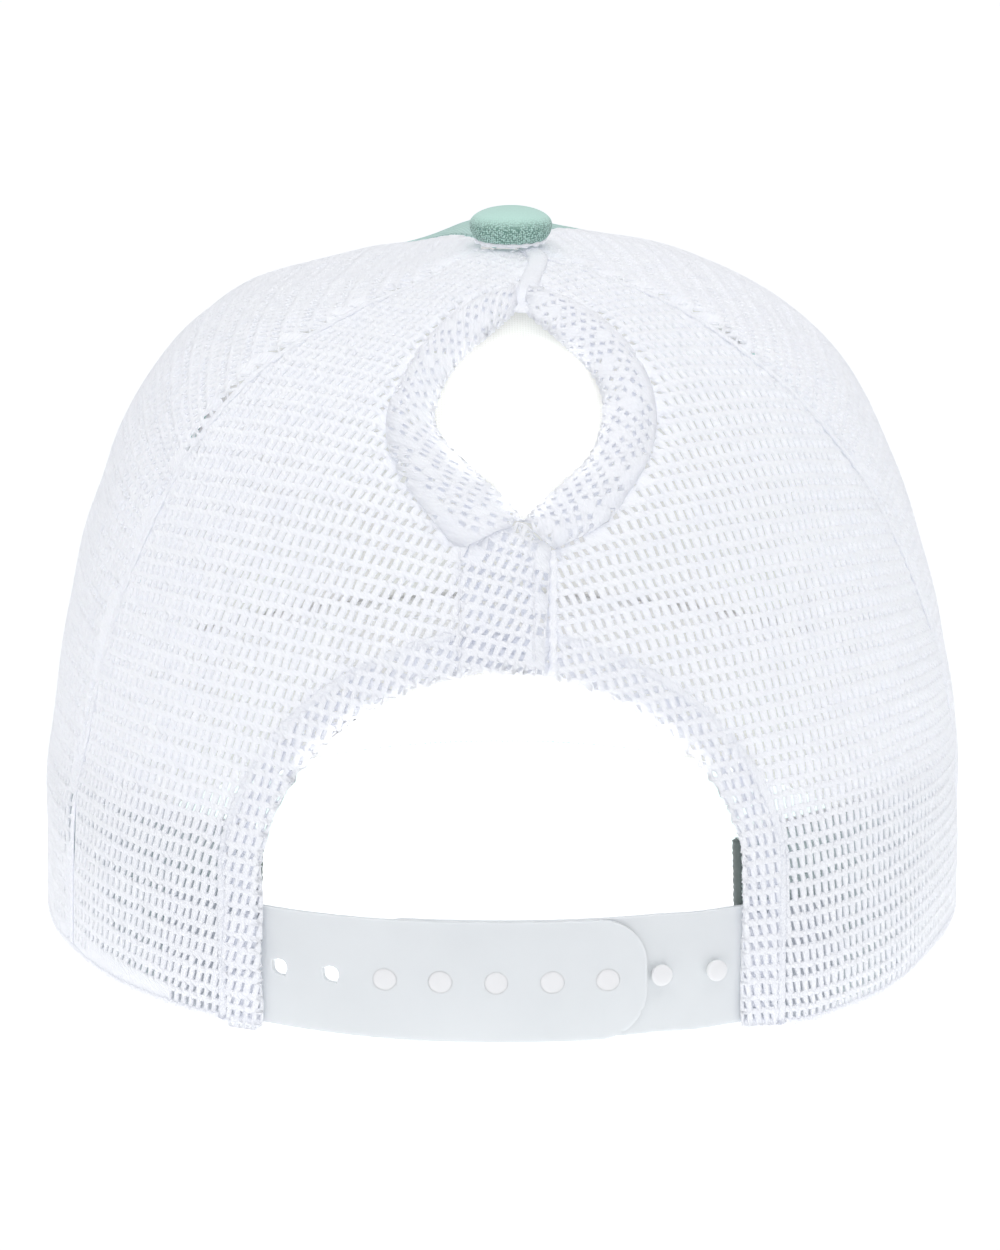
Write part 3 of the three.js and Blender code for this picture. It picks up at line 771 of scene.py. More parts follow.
# Seams and edges, as places on the crown. The seams are in pairs: angles from the centre back or front at
# the top, and how much wider they get below a level.
seams = {
    "back": {1: (50, 16), -1: (54, 30), "flareLevel": 0.75},
    "front": {1: (17.5, 42.5), -1: (13.5, 46.5), "flareLevel": 0.9},
    "softness": 0.12, "topLevel": 0.985,
}
arch = {"halfWidth": 45, "leg": 30, "top": 70, "power": 1.85, "hem": 8.2}
bridge = {1: 8.3, -1: -9.3, "top": 91}
# Ponytail hole: height of each row, widths of the hole to the left and right, and half its hem's
bun = {
    "centre": -3.5, "seam": ((-13, 0.91), (-32, 0.95), (-42, 0.985)),
    "hole": ((96.0, -0.4, 0.4), (99, 2.2, 3.6), (102, 5.7, 7.6), (105.5, 10.1, 11.9), (109, 14.2, 14.2),
             (112.5, 16.2, 15.2), (116, 15.4, 15.1), (119.4, 13.3, 12.8), (122.7, 9, 8.3), (125.2, 4.4, 4.3),
             (127.2, 0.5, 0.5)),
    "hem": ((91, None), (95.5, 16), (100, 20), (104.5, 23.4), (109, 25.3), (113.5, 25.5), (118, 24),
            (122.5, 20.5), (126, 15.5), (128.2, 9), (129.4, 1.5)),
}


def seamAngle(pair, side, level):
    top, flare = seams[pair][side]
    share = (seams[pair]["flareLevel"] - level) / seams[pair]["flareLevel"]
    soft = np.minimum(1, (share + np.hypot(share, seams["softness"])) / 2)
    return top + flare * np.sin(soft * math.pi / 2)


def backSeam(side, level):
    return side * seamAngle("back", side, level)


def frontSeam(side, level):
    return side * (180 - seamAngle("front", side, level))


def smoothLine(points, steps):
    points = np.asarray(points, float)
    padded = np.vstack((2 * points[0] - points[1], points, 2 * points[-1] - points[-2]))
    at = np.linspace(0, len(points) - 1, steps)
    i = np.minimum(at.astype(int), len(points) - 2)
    return between(padded[i], padded[i + 1], padded[i + 2], padded[i + 3], (at - i)[:, None])


# The arch's edge from its leg on one side to a place across, which may lie past the middle
def archEdge(side, widen=0.0, lift=0.0, until=None, steps=48):
    half, top = arch["halfWidth"] + widen, arch["top"] + lift
    share = side * (bridge[side] if until is None else until) / half
    endTurn = math.acos(abs(share) ** (arch["power"] / 2))
    if share < 0:
        endTurn = math.pi - endTurn
    turn = np.linspace(0, endTurn, steps)
    x = half * np.sign(np.cos(turn)) * np.abs(np.cos(turn)) ** (2 / arch["power"])
    z = arch["leg"] + (top - arch["leg"]) * np.sin(turn) ** (2 / arch["power"])
    legZ = np.linspace(0, arch["leg"], steps // 3, endpoint=False)
    places = backPlace(side * np.concatenate((np.full(len(legZ), half), x)), np.concatenate((legZ, z)))
    places[0, 1] = 0
    return places


# The top of the bridge rises from its sides to the low tip of the ponytail hole
def bridgeTop(side):
    x = (bridge[-side], bun["centre"], bridge[side])
    return backPlace(x, (bridge["top"], bun["hole"][0][0], bridge["top"]))


def bunEdge(side, which, steps=60):
    rows = []
    for z, *halves in bun[which]:
        half = halves[0] if side > 0 else halves[-1]
        rows.append((bridge[side] if half is None else bun["centre"] + side * half, z))
    line = smoothLine(rows, steps)
    return backPlace(line[:, 0], line[:, 1])


def centreSeam():
    return np.array(bun["seam"])


def levelLine(angleAt, low, high, steps):
    levels = np.linspace(low, high, steps)
    return np.column_stack((np.broadcast_to(angleAt(levels), levels.shape), levels))


def rimLine(start, end, level=0.0, steps=40):
    return np.column_stack((np.linspace(start, end, steps), np.full(steps, level)))


# Soft unevenness of the sewn cloth, in mm of lift
def drape(flat, depth, seed):
    draw = np.random.default_rng(seed)
    total = np.zeros(len(flat))
    for _ in range(5):
        way = draw.uniform(0, math.tau)
        length = draw.uniform(16, 38)
        total += np.sin((flat[:, 0] * math.cos(way) + flat[:, 1] * math.sin(way)) * math.tau / length
                        + draw.uniform(0, math.tau))
    return depth * total / 5


panel = {
    "grainBack": 31, "grainSide": 102, "drape": 0.5, "seamSink": 0.7, "seamWidth": 1.1,
    "rowTurn": {1: -4, -1: 2},
}
charts = {}
for side in (1, -1):
    charts["back", side] = makeChart(side * panel["grainBack"], 75)
    charts["side", side] = makeChart(side * panel["grainSide"], 76)


def sinkAt(flat, lines, depth, width):
    height = np.zeros(len(flat))
    for line in lines:
        gap = nearestPlaces(flat, line[:-1], line[1:])[1]
        height = np.minimum(height, -depth * np.exp(-(gap / width) ** 2))
    return height


def panelLift(flat, creases, seed):
    return drape(flat, panel["drape"], seed) + sinkAt(flat, creases, panel["seamSink"], panel["seamWidth"])


# The way inwards at the nearest place on a line, and how far inwards a point lies
def alongLine(points, line, side):
    nearest, _, best, share = nearestPlaces(points, line[:-1], line[1:])
    tangent = unit(np.gradient(line, axis=0))
    inward = side * np.column_stack((-tangent[:, 1], tangent[:, 0]))
    way = unit(mix(inward[best], inward[best + 1], share[:, None]))
    return way, ((points - nearest) * way).sum(1)


# Cloth folded round an edge: how far in it lies, and how high, from how far in it was when flat
def foldRound(depth, half, fade):
    quarter = half * math.pi / 2
    turn = np.clip(depth / half, -math.pi / 2, math.pi / 2)
    slack = (quarter - half) * (1 - smooth(np.abs(depth), quarter, fade))
    inside = np.where(np.abs(depth) > quarter, np.abs(depth) - slack, half * (1 - np.cos(turn)))
    return inside, half * np.sin(turn)


hem = {
    "half": 0.52, "flattens": 6.5, "ends": 9.0, "fade": 14.0, "slip": 1.3, "slipWithin": 2.5,
    "underBun": 0.2, "bunSink": 1.2, "bunSinkWidth": 2.2,
}
lap = {"over": 1.3, "under": -0.5, "blend": 1.5, "low": (60, 66), "high": (95, 100)}


def backNet(side, word):
    chart = charts["back", side]
    seam = levelLine(lambda level: backSeam(side, level), 0, seams["topLevel"], 70)
    bunBorder = bunEdge(side, "hem")
    bunCut = mix(bunBorder, bunEdge(side, "hole"), hem["underBun"])
    edge = crownToChart(chart, archEdge(side, until=bridge[-side], steps=90))
    tangent = unit(np.gradient(edge, axis=0))
    allowance = edge - side * np.column_stack((-tangent[:, 1], tangent[:, 0])) * arch["hem"]
    top = rimLine(centreSeam()[-1, 0], seam[-1, 0], seams["topLevel"], 6)
    rest = np.vstack((bridgeTop(side)[:2], bunCut, centreSeam(), top, seam[::-1]))
    rim = rimLine(backSeam(side, 0.0), archEdge(side)[0, 0])
    outline = np.vstack((allowance, crownToChart(chart, np.vstack((rest, rim)))))
    creases = [crownToChart(chart, line) for line in (seam, bunBorder)]
    bunCutLine = crownToChart(chart, bunCut)

    # The hem is the panel's own net, folded under at the opening; the left panel laps over the right one
    def bend(flat):
        way, depth = alongLine(flat, edge, side)
        inside, height = foldRound(depth, hem["half"], hem["fade"])
        slip = hem["slip"] * smooth(-depth, 0, hem["slipWithin"])
        moved = flat + way * (inside - depth)[:, None] + turnFlat(way, 90) * slip[:, None]
        height = height * (1 - smooth(depth, hem["flattens"], hem["ends"]))
        angle, level = chartToCrown(chart, moved)
        x, _, z = crownSurface(angle, level).T
        reach = abs(bridge[side])
        inBridge = smooth(-side * x, -reach - lap["blend"], -reach + lap["blend"])
        inBridge = inBridge * smooth(z, *lap["low"]) * (1 - smooth(z, *lap["high"]))
        height = height + inBridge * (lap["over"] if side > 0 else lap["under"])
        height = height + panelLift(moved, creases, 3 + side)
        height = height + sinkAt(moved, [bunCutLine], hem["bunSink"], hem["bunSinkWidth"])
        return toWorld(offCrown(angle, level, height))

    net = makeKnit(f"backNet{word}", outline, bend, turn=panel["rowTurn"][side], seed=10 + side, lean=side)
    nodes = [f"back_mesh_{word.lower()}", f"arch_hem_{word.lower()}"] + (["bridge_strip"] if side > 0 else [])
    return finishPiece(net, knitWhite, "white_mesh", *nodes)


def sideNet(side, word):
    chart = charts["side", side]
    seam = levelLine(lambda level: backSeam(side, level), 0, seams["topLevel"], 70)
    front = levelLine(lambda level: frontSeam(side, level), 0, seams["topLevel"], 70)
    rim = rimLine(front[0, 0], seam[0, 0])
    top = rimLine(seam[-1, 0], front[-1, 0], seams["topLevel"], 16)
    outline = crownToChart(chart, np.vstack((seam, top, front[::-1], rim)))
    creases = [crownToChart(chart, line) for line in (seam, front)]

    def bend(flat):
        angle, level = chartToCrown(chart, flat)
        return toWorld(offCrown(angle, level, panelLift(flat, creases, 6 + side)))

    net = makeKnit(f"sideNet{word}", outline, bend, seed=20 + side, lean=side)
    return finishPiece(net, knitWhite, "white_mesh", f"side_mesh_{word.lower()}")


for side, word in ((1, "Left"), (-1, "Right")):
    backNet(side, word)
    sideNet(side, word)
print("mesh panels knitted")


# Ponytail hole: each half is bound by a folded bias strip, so its net lies at 45 degrees to the edge
bunHem = {"half": 0.5, "puff": 2.0, "full": 0.55, "tuck": 0.84, "allowance": 1.5}


def bunHemPiece(side, word):
    hole, border = bunEdge(side, "hole"), bunEdge(side, "hem")
    holePoints, borderPoints = crownSurface(*hole.T), crownSurface(*border.T)
    along = arcAlong((holePoints + borderPoints) / 2, 0)
    width = np.linalg.norm(borderPoints - holePoints, axis=1)
    outline = np.vstack((np.column_stack((side * np.maximum(width - bunHem["allowance"], 0.5), along)),
                         np.column_stack((-side * width, along))[::-1]))

    def bend(flat):
        depth, s = -side * flat[:, 0], np.clip(flat[:, 1], 0, along[-1])
        wide = np.interp(s, along, width)
        inside, height = foldRound(depth, bunHem["half"], 100)
        share = np.clip(inside / wide, 0, 1)
        puff = smooth(share, 0, bunHem["full"]) * (1 - smooth(share, bunHem["full"], 1))
        height = height + bunHem["puff"] * puff - (bunHem["half"] + 0.2) * smooth(share, bunHem["tuck"], 1)
        places = [mix(np.interp(s, along, hole[:, k]), np.interp(s, along, border[:, k]), share)
                  for k in (0, 1)]
        return toWorld(offCrown(*places, height + drape(flat, 0.35, 60 + side)))

    strip = makeKnit(f"bunHem{word}", outline, bend, hemKnit, turn=45, seed=40 + side)
    return finishPiece(strip, knitWhite, "white_mesh", f"bun_hem_{word.lower()}")


bunHemPiece(1, "Left")
bunHemPiece(-1, "Right")


# Edges and seams of the net: a path beside a line of places, so many mm to its left
def besideLine(places, aside, lift, spacing):
    centre, out = evenPath(places, 0.0, spacing)
    along = unit(np.gradient(centre, axis=0))
    across = unit(np.cross(out, along))
    return centre + across * aside + out * lift, out


button = {
    "radius": 8, "height": 6.6, "base": 134.0, "foot": 0.66, "skirt": 0.5, "aside": -1.7,
    "topPower": 0.92, "footPower": 0.9, "footTurn": -1.35,
}
# Each roll has a radius, a flatness, the size of its knobs as a share and their pitch
edging = {
    "rim": (0.75, 1.0, 0.1, 1.87), "seam": (0.75, 0.45, 0.06, 2.84), "chain": (0.95, 0.32, 0.12, 1.6),
    "tape": (2.0, 0.26, 0.03), "fold": (0.75, 1.0, 0.15, 2.84), "collar": (0.52, 1.0, 0.3, 2.4),
    "rimLevel": 0.003, "seamAside": 1.0, "chainIn": 1.0, "foldLow": 69.5,
    "tapeStart": 126.6, "tapeSeam": ((-9.5, 0.885), (-16.5, 0.92), (-28, 0.945), (-42, 0.962), (-58, 0.98)),
    "collarReach": 6.4, "collarHeight": 134.25, "collarTurn": (-0.1, 1.1),
}
# Lift of each path off the crown, and the spacing of its rings
edgePaths = {
    "rim": (-0.15, 0.6), "seam": (0.2, 0.9), "chain": (0.35, 0.5), "tape": (0.45, 1.0), "fold": (1.0, 0.45),
}


def netEdging():
    pieces = []

    def addRoll(name, kind, path):
        pieces.append(rollAlong(name, path, *edging[kind]))
    for side, word in ((1, "Left"), (-1, "Right")):
        rim = rimLine(archEdge(side)[0, 0], frontSeam(side, 0.0), edging["rimLevel"], 60)
        addRoll(f"rimRoll{word}", "rim", evenPath(rim, *edgePaths["rim"]))
        seam = levelLine(lambda level: backSeam(side, level), 0.004, seams["topLevel"], 70)
        addRoll(f"seamRidge{word}", "seam", besideLine(seam, -side * edging["seamAside"], *edgePaths["seam"]))
        reach = arch["hem"] - edging["chainIn"]
        chain = archEdge(side, widen=reach, lift=reach)
        addRoll(f"hemChain{word}", "chain", evenPath(chain, *edgePaths["chain"]))
    tapeLine = np.vstack((backPlace(bun["centre"], edging["tapeStart"]), edging["tapeSeam"]))
    addRoll("centreSeamTape", "tape", evenPath(tapeLine, *edgePaths["tape"]))
    fold = backPlace(np.full(12, bridge[-1]), np.linspace(edging["foldLow"], bridge["top"], 12))
    addRoll("bridgeFold", "fold", evenPath(fold, *edgePaths["fold"]))
    turn = np.linspace(*edging["collarTurn"], 49) * math.pi    # round the back of the button's foot
    ring = np.column_stack((np.cos(turn), np.sin(turn), 0 * turn)) * edging["collarReach"]
    collar = ring + np.array((button["aside"], 0, edging["collarHeight"]))
    addRoll("buttonCollar", "collar", (collar, np.tile((0.0, 0, 1), (len(turn), 1))))
    return finishPiece(joinPieces("netEdging", pieces), knitWhite, "white_mesh")


netEdging()
print("hems folded")


# Front: two mint twill panels, their lining, and the sweatband
front = {
    "rows": 90, "columns": 60, "thickness": 1.2, "drape": 0.4, "drapeFrom": 8, "seamSink": 0.5,
    "seamWidth": 1.3,
}
lining = {"lift": -0.9, "thickness": 1.8, "low": 0.2, "high": 0.95}
band = {
    "thickness": 1.8, "lift": -1.5, "backLift": -3.0, "leftEnd": 31, "rightEnd": -29.8,
    "blend": (46, 54), "foot": (0.004, -0.02), "hangs": (116, 130), "height": 36, "rows": 18, "columns": 180,
    "towel": 0.5, "towelBelow": (0.0012, 0.0065), "towelAbove": 0.0108, "towelIn": 0.1,
    # the end rolls are dark grey painted shade over the band's cut ends
    "endShadeRoll": (0.75, 1.7, 0.08, 1.3), "endShadeFrom": 5,
}


def frontPanel(side, word):
    level = np.linspace(0, seams["topLevel"], front["rows"] + 1)[:, None]
    seam = frontSeam(side, level) % 360
    high, low = (180, seam) if side > 0 else (seam, 180)
    angle = mix(high, low, np.linspace(0, 1, front["columns"] + 1)[None, :])
    surface = crownSurface(angle, level)
    across = arcAlong(surface, 1)
    fromSeam = np.minimum(across, across[:, [-1]] - across)
    flat = np.stack((across, arcAlong(surface, 0)), -1)
    lift = drape(flat.reshape(-1, 2), front["drape"], 70 + side).reshape(fromSeam.shape)
    lift = lift * (1 - np.exp(-(fromSeam / front["drapeFrom"]) ** 2))
    lift = lift + front["thickness"] / 2 - front["seamSink"] * np.exp(-(fromSeam / front["seamWidth"]) ** 2)
    piece = makeShell(f"frontPanel{word}", offCrown(angle, level, lift), front["thickness"])
    return finishPiece(piece, twillMint, "mint_twill", f"front_panel_{word.lower()}")


def frontLining():
    level = np.linspace(lining["low"], lining["high"], 61)[:, None]
    angle = mix(360 + frontSeam(-1, level), frontSeam(1, level), np.linspace(0, 1, 91)[None, :])
    points = offCrown(angle, level, np.full(angle.shape, lining["lift"]))
    piece = makeShell("whiteLining", points, lining["thickness"])
    return finishPiece(piece, liningCloth, "lining_foam", "front_lining")


frontPanel(1, "Left")
frontPanel(-1, "Right")
frontLining()


def levelOf(height):
    return float(backPlace(0.0, height)[1])


def bandLift(angle):
    fromBack = np.abs(np.where(angle > 180, angle - 360, angle))
    return mix(band["backLift"], band["lift"], smooth(fromBack, *band["blend"]))


# The band's lower edge covers the brim's seam at the front; its skin side is white towelling
def sweatband():
    angles = np.linspace(360 + band["rightEnd"], band["leftEnd"], band["columns"] + 1)
    rows = np.linspace(0, 1, band["rows"] + 1)[:, None]
    hung = smooth(np.minimum(angles, 360 - angles), *band["hangs"])
    foot, top = mix(*band["foot"], hung), levelOf(band["height"])
    levels = mix(foot[None, :], top, rows)
    lift = np.broadcast_to(bandLift(angles), levels.shape)
    piece = makeShell("cottonBand", offCrown(angles[None, :], levels, lift), band["thickness"])
    finishPiece(piece, bandCotton, "mint_sweatband", "sweatband")
    towelLevels = mix((foot - mix(*band["towelBelow"], hung))[None, :], top + band["towelAbove"], rows)
    points = offCrown(angles[None, :], towelLevels, lift - band["thickness"] + band["towelIn"])
    piece = makeShell("towellingFace", points[:, 1:-1], band["towel"])
    finishPiece(piece, towelCotton, "lining_foam")

    # Dark grey rolls over its cut ends are painted shade, standing in for the shade on the band's ends
    ends = []
    for end, column in ((0, band["endShadeFrom"]), (-1, -1 - band["endShadeFrom"])):
        line = np.column_stack((np.full(len(rows), angles[end]), levels[:, column]))
        path = evenPath(line, band["backLift"] - (band["thickness"] + band["towel"]) / 2, 0.5)
        ends.append(rollAlong("bandEnd", path, *band["endShadeRoll"]))
    finishPiece(joinPieces("bandEnds", ends), bandEndShade, "mint_sweatband")
    return angles


bandAngles = sweatband()
print("front, lining and sweatband made")


# Brim: curved down to both sides, a board covered with twill
brim = {
    "halfAngle": 58, "halfWidth": 90, "endWidth": 80, "length": 71, "sideStart": -50, "thickness": 3.5,
    "slope": 0.12, "sideSlope": 0.52, "endLength": 3, "sidePower": 0.9, "frontPower": 0.82, "endPower": 5,
    "gap": 0.3, "rootLift": -0.6, "edge": 1.3, "edgeAngle": 50, "rootShare": 0.4, "rootRows": 12,
    "rows": 40, "columns": 120,
}


def brimTop(share, out):
    sign, share = np.where(share < 0, -1, 1), np.abs(share)
    root = offCrown(180 - brim["halfAngle"] * share, 0 * share, np.full(share.shape, brim["rootLift"]))
    turn = np.radians(90 * share)
    narrowing = (brim["halfWidth"] - brim["endWidth"]) * share ** brim["endPower"]
    reachForward = crown["frontDepth"] + brim["length"] + brim["sideStart"]
    tip = np.stack((brim["halfWidth"] * np.sin(turn) ** brim["sidePower"] - narrowing,
                    brim["sideStart"] - reachForward * np.maximum(np.cos(turn), 0) ** brim["frontPower"]), -1)
    reach = tip - root[..., :2]
    length = np.linalg.norm(reach, axis=-1, keepdims=True)
    reach = reach * np.maximum(1, brim["endLength"] / length)
    run = np.linalg.norm(reach, axis=-1) * out
    flat = root[..., :2] + reach * out[..., None]
    height = root[..., 2] - brim["gap"] - run * (brim["slope"] + brim["sideSlope"] * share ** 2)
    return np.stack((flat[..., 0] * sign, flat[..., 1], height), -1)


def makeBrim():
    rows, columns = brim["rows"], brim["columns"]
    shares, outs = np.meshgrid(np.linspace(-1, 1, columns + 1), np.linspace(1, 0, rows + 1))
    piece = makeShell("twillBrim", brimTop(shares, outs), 0)
    board = piece.vertex_groups.new(name="board")    # it thins towards the seam
    _, rowOf = gridPlaces(piece, columns, rows)
    for row in range(rows + 1):
        share = min(1, mix(brim["rootShare"], 1, (rows - row) / brim["rootRows"]))
        board.add(np.flatnonzero(rowOf == row).tolist(), share, "REPLACE")
    thickenShell(piece, brim["thickness"], offset=-1, vertex_group="board")
    applyModifier(piece, "BEVEL", width=brim["edge"] / 1000, segments=4, limit_method="ANGLE",
                  angle_limit=math.radians(brim["edgeAngle"]))
    return finishPiece(piece, twillMint, "mint_twill", "brim")


makeBrim()


# Button: a metal disc covered with canvas
def makeButton():
    deselectAll()
    bpy.ops.mesh.primitive_uv_sphere_add(segments=64, ring_count=32, radius=1)
    piece = nameNew("clothButton")
    shape = readPoints(piece)
    turn = np.arcsin(np.clip(shape[:, 2], -1, 1))
    around = unit(shape[:, :2] + 1e-12)
    above = turn > 0
    low = mix(button["foot"], 1, np.cos(turn) ** button["footPower"])
    radius = np.where(above, np.cos(turn) ** button["topPower"], low)
    closing = (turn + math.pi / 2) / (math.pi / 2 + button["footTurn"])
    radius = radius * np.where(turn < button["footTurn"], closing, 1)
    middle = button["skirt"] * button["height"]
    height = np.where(above, middle + (button["height"] - middle) * np.sin(turn), middle * (1 + np.sin(turn)))
    flat = around * (radius * button["radius"])[:, None]
    points = np.column_stack((flat[:, 0] + button["aside"], flat[:, 1], height + button["base"]))
    writePoints(piece, toWorld(points))
    return finishPiece(piece, buttonCloth, "mint_twill", "button")


makeButton()
print("brim and button made")

# Stitches: lockstitch in the colour of the cloth that it joins
stitch = {
    "pitch": 3.1, "size": (2.5, 0.5, 0.34), "aside": 2.1, "lift": 0.1, "sunk": 0.05, "bandDown": 3,
    "seamLevels": (0.03, 0.78), "centreLevels": (0.03, 0.84),
    "bridgePitch": 2.2, "bridgeSize": (1.7, 0.6, 0.4), "bridgeLift": 2.05,
    "bridgeRows": ((bridge[1] - 0.6, 71), (bridge[-1] + 3.5, 70.5)),
}
brimRows = {"first": 0.09, "last": 0.93, "rows": 8, "end": 0.97}


def sewnRow(points, out):
    arc = arcAlong(points, 0)
    at = np.linspace(0, arc[-1], round(arc[-1] / stitch["pitch"]) + 1)
    rows = [np.column_stack([np.interp(at, arc, line[:, k]) for k in range(3)]) for line in (points, out)]
    return rows[0], unit(rows[1])


def brimStitches():
    rows = []
    share = np.linspace(-brimRows["end"], brimRows["end"], 241)
    for out in np.linspace(brimRows["first"], brimRows["last"], brimRows["rows"]):
        points = brimTop(share, np.full(share.shape, out))
        along = np.gradient(points, axis=0)
        forward = brimTop(share, np.full(share.shape, out + 0.01)) - points
        up = unit(np.cross(along, forward))
        up = up * np.sign(up[:, [2]])
        rows.append(sewnRow(points + stitch["sunk"] * up, up))
        rows.append(sewnRow(points - (brim["thickness"] + stitch["sunk"]) * up, up))
    piece = sewStitches("brimStitches", rows, *stitch["size"])
    return finishPiece(piece, mintThread, "mint_twill")


def crownStitches():
    lift = front["thickness"] / 2 + stitch["lift"]
    rows = []
    for side in (1, -1):
        seam = levelLine(lambda level: frontSeam(side, level), *stitch["seamLevels"], 70)
        rows.append(besideLine(seam, side * stitch["aside"], lift, stitch["pitch"]))
        centre = levelLine(lambda level: 0 * level + 180, *stitch["centreLevels"], 70)
        rows.append(besideLine(centre, side * stitch["aside"], lift, stitch["pitch"]))
    piece = sewStitches("crownStitches", rows, *stitch["size"])
    return finishPiece(piece, mintThread, "mint_twill")


def bandStitches():
    line = rimLine(bandAngles[5], bandAngles[-6], levelOf(band["height"] - stitch["bandDown"]), 160)
    centre, out = evenPath(line, 0.0, stitch["pitch"])
    depth = np.interp(np.linspace(0, 1, len(centre)), np.linspace(0, 1, len(line)), bandLift(line[:, 0]))
    depth = depth - band["thickness"] - band["towel"] + stitch["sunk"]
    piece = sewStitches("bandStitches", [(centre + out * depth[:, None], out)], *stitch["size"])
    return finishPiece(piece, whiteThread, "mint_sweatband")


def netStitches():
    rows = []
    for x, low in stitch["bridgeRows"]:
        line = backPlace(np.full(12, x), np.linspace(low, bridge["top"] - 1, 12))
        rows.append(evenPath(line, stitch["bridgeLift"], stitch["bridgePitch"]))
    piece = sewStitches("netStitches", rows, *stitch["bridgeSize"])
    return finishPiece(piece, whiteThread, "white_mesh")


brimStitches()
crownStitches()
bandStitches()
netStitches()
print("stitches sewn")


# Snap strap: two moulded halves, the one with holes outside. Pegs have a radius, a rise and how far they are
# sunk; those past the holed half's tip are free.
strap = {
    "height": 23, "thickness": 1.2, "lift": -1.5, "innerLift": -3.0, "sewnEnd": 44, "tip": 17.2,
    "tipRound": 9, "foot": 0.002, "joggle": 6, "cell": 0.75, "edge": 0.3, "edgeAngle": 50,
    "pitch": 10.55, "firstSnap": 1.1, "snapHeight": 11.5, "hole": 1.65, "freePegs": 2,
    "snapped": (2.6, 0.3, 0.18), "free": (2.05, 0.45, 0.1), "stem": 2.2,
}
strapTop = levelOf(strap["height"])
backRadius = crown["backDepth"]


def circle(centre, radius, steps):
    turn = np.linspace(0, math.tau, steps, endpoint=False)
    return np.array(centre) + radius * np.column_stack((np.cos(turn), np.sin(turn)))


def strapOutline(side):
    start, tip = np.radians((strap["sewnEnd"], -strap["tip"])) * backRadius
    quarter = np.linspace(0, math.pi / 2, 16)
    r, h = strap["tipRound"], strap["height"]
    low = np.column_stack((tip + r - r * np.sin(quarter), r - r * np.cos(quarter)))
    high = np.column_stack((low[::-1, 0], h - low[::-1, 1]))
    outline = np.vstack(((start, 0), low, high, (start, h)))
    return outline * (-side, 1)


def strapBend(liftAt):
    def bend(flat):
        angle = np.degrees(-flat[:, 0] / backRadius)
        level = strapTop * flat[:, 1] / strap["height"] + strap["foot"]
        return toWorld(offCrown(angle, level, liftAt(angle) - strap["thickness"] / 2))
    return bend


def outerStrapLift(angle):
    return np.full(angle.shape, strap["lift"])


def innerStrapLift(angle):
    clear = strap["tip"] + 1
    return mix(strap["innerLift"], strap["lift"], smooth(-angle, clear, clear + strap["joggle"]))


def strapPlate(name, loops, liftAt):
    piece = cutCloth(name, loops, np.array((strap["cell"], strap["cell"])))
    flat = readPoints(piece)[:, :2]
    layUv(piece, flat / 1000)
    writePoints(piece, strapBend(liftAt)(flat))
    applyModifier(piece, "SOLIDIFY", thickness=strap["thickness"] / 1000, offset=0)
    applyModifier(piece, "BEVEL", width=strap["edge"] / 1000, segments=2, limit_method="ANGLE",
                  angle_limit=math.radians(strap["edgeAngle"]))
    return piece


snapAlong = [strap["firstSnap"] + strap["pitch"] * k for k in range(-4, 5)]
holes = [circle((-along, strap["snapHeight"]), strap["hole"], 24) for along in snapAlong[2:]]
plate = strapPlate("strapHoles", [strapOutline(1), *holes], outerStrapLift)
finishPiece(plate, snapPlastic, "strap_plastic", "strap_holes")
plate = strapPlate("strapPegs", [strapOutline(-1)], innerStrapLift)
finishPiece(plate, snapPlastic, "strap_plastic", "strap_pegs")


def makePeg(along, kind):
    head, rise, sink = strap[kind]
    deselectAll()
    bpy.ops.mesh.primitive_uv_sphere_add(segments=24, ring_count=12, radius=1)
    peg = nameNew("peg")
    shape = readPoints(peg)
    angle = np.degrees(along / backRadius)
    level = strapTop * strap["snapHeight"] / strap["height"] + strap["foot"]
    out = crownNormal(angle, level)
    across = unit(np.cross(np.array((0, 0, 1.0)), out))
    up = np.cross(out, across)
    spot = offCrown(angle, level, innerStrapLift(np.array(angle)) + strap["lift"] - strap["innerLift"] - sink)
    stem = np.where(shape[:, 2] < 0, strap["stem"], rise)
    flat = head * (shape[:, [0]] * across + shape[:, [1]] * up)
    writePoints(peg, toWorld(spot + flat + (shape[:, 2] * stem)[:, None] * out))
    return peg


pegPieces = [makePeg(along, "free" if number < strap["freePegs"] else "snapped")
             for number, along in enumerate(snapAlong[:7])]
# The peg heads use the lighter copy of the strap plastic: painted light.
finishPiece(joinPieces("snapPegs", pegPieces), pegPlasticPaintedLight, "strap_plastic")
print("strap moulded")

# Floor: a white light table, with a lamp under it that shines up into the crown
floorValues = {
    "size": 16000, "sink": 0.2, "colour": "#f4f5f6", "glow": 0.27, "lampGlow": 0.6, "lampInner": 100,
    "lampOuter": 180, "lampPlace": (0, -10, 0),
}


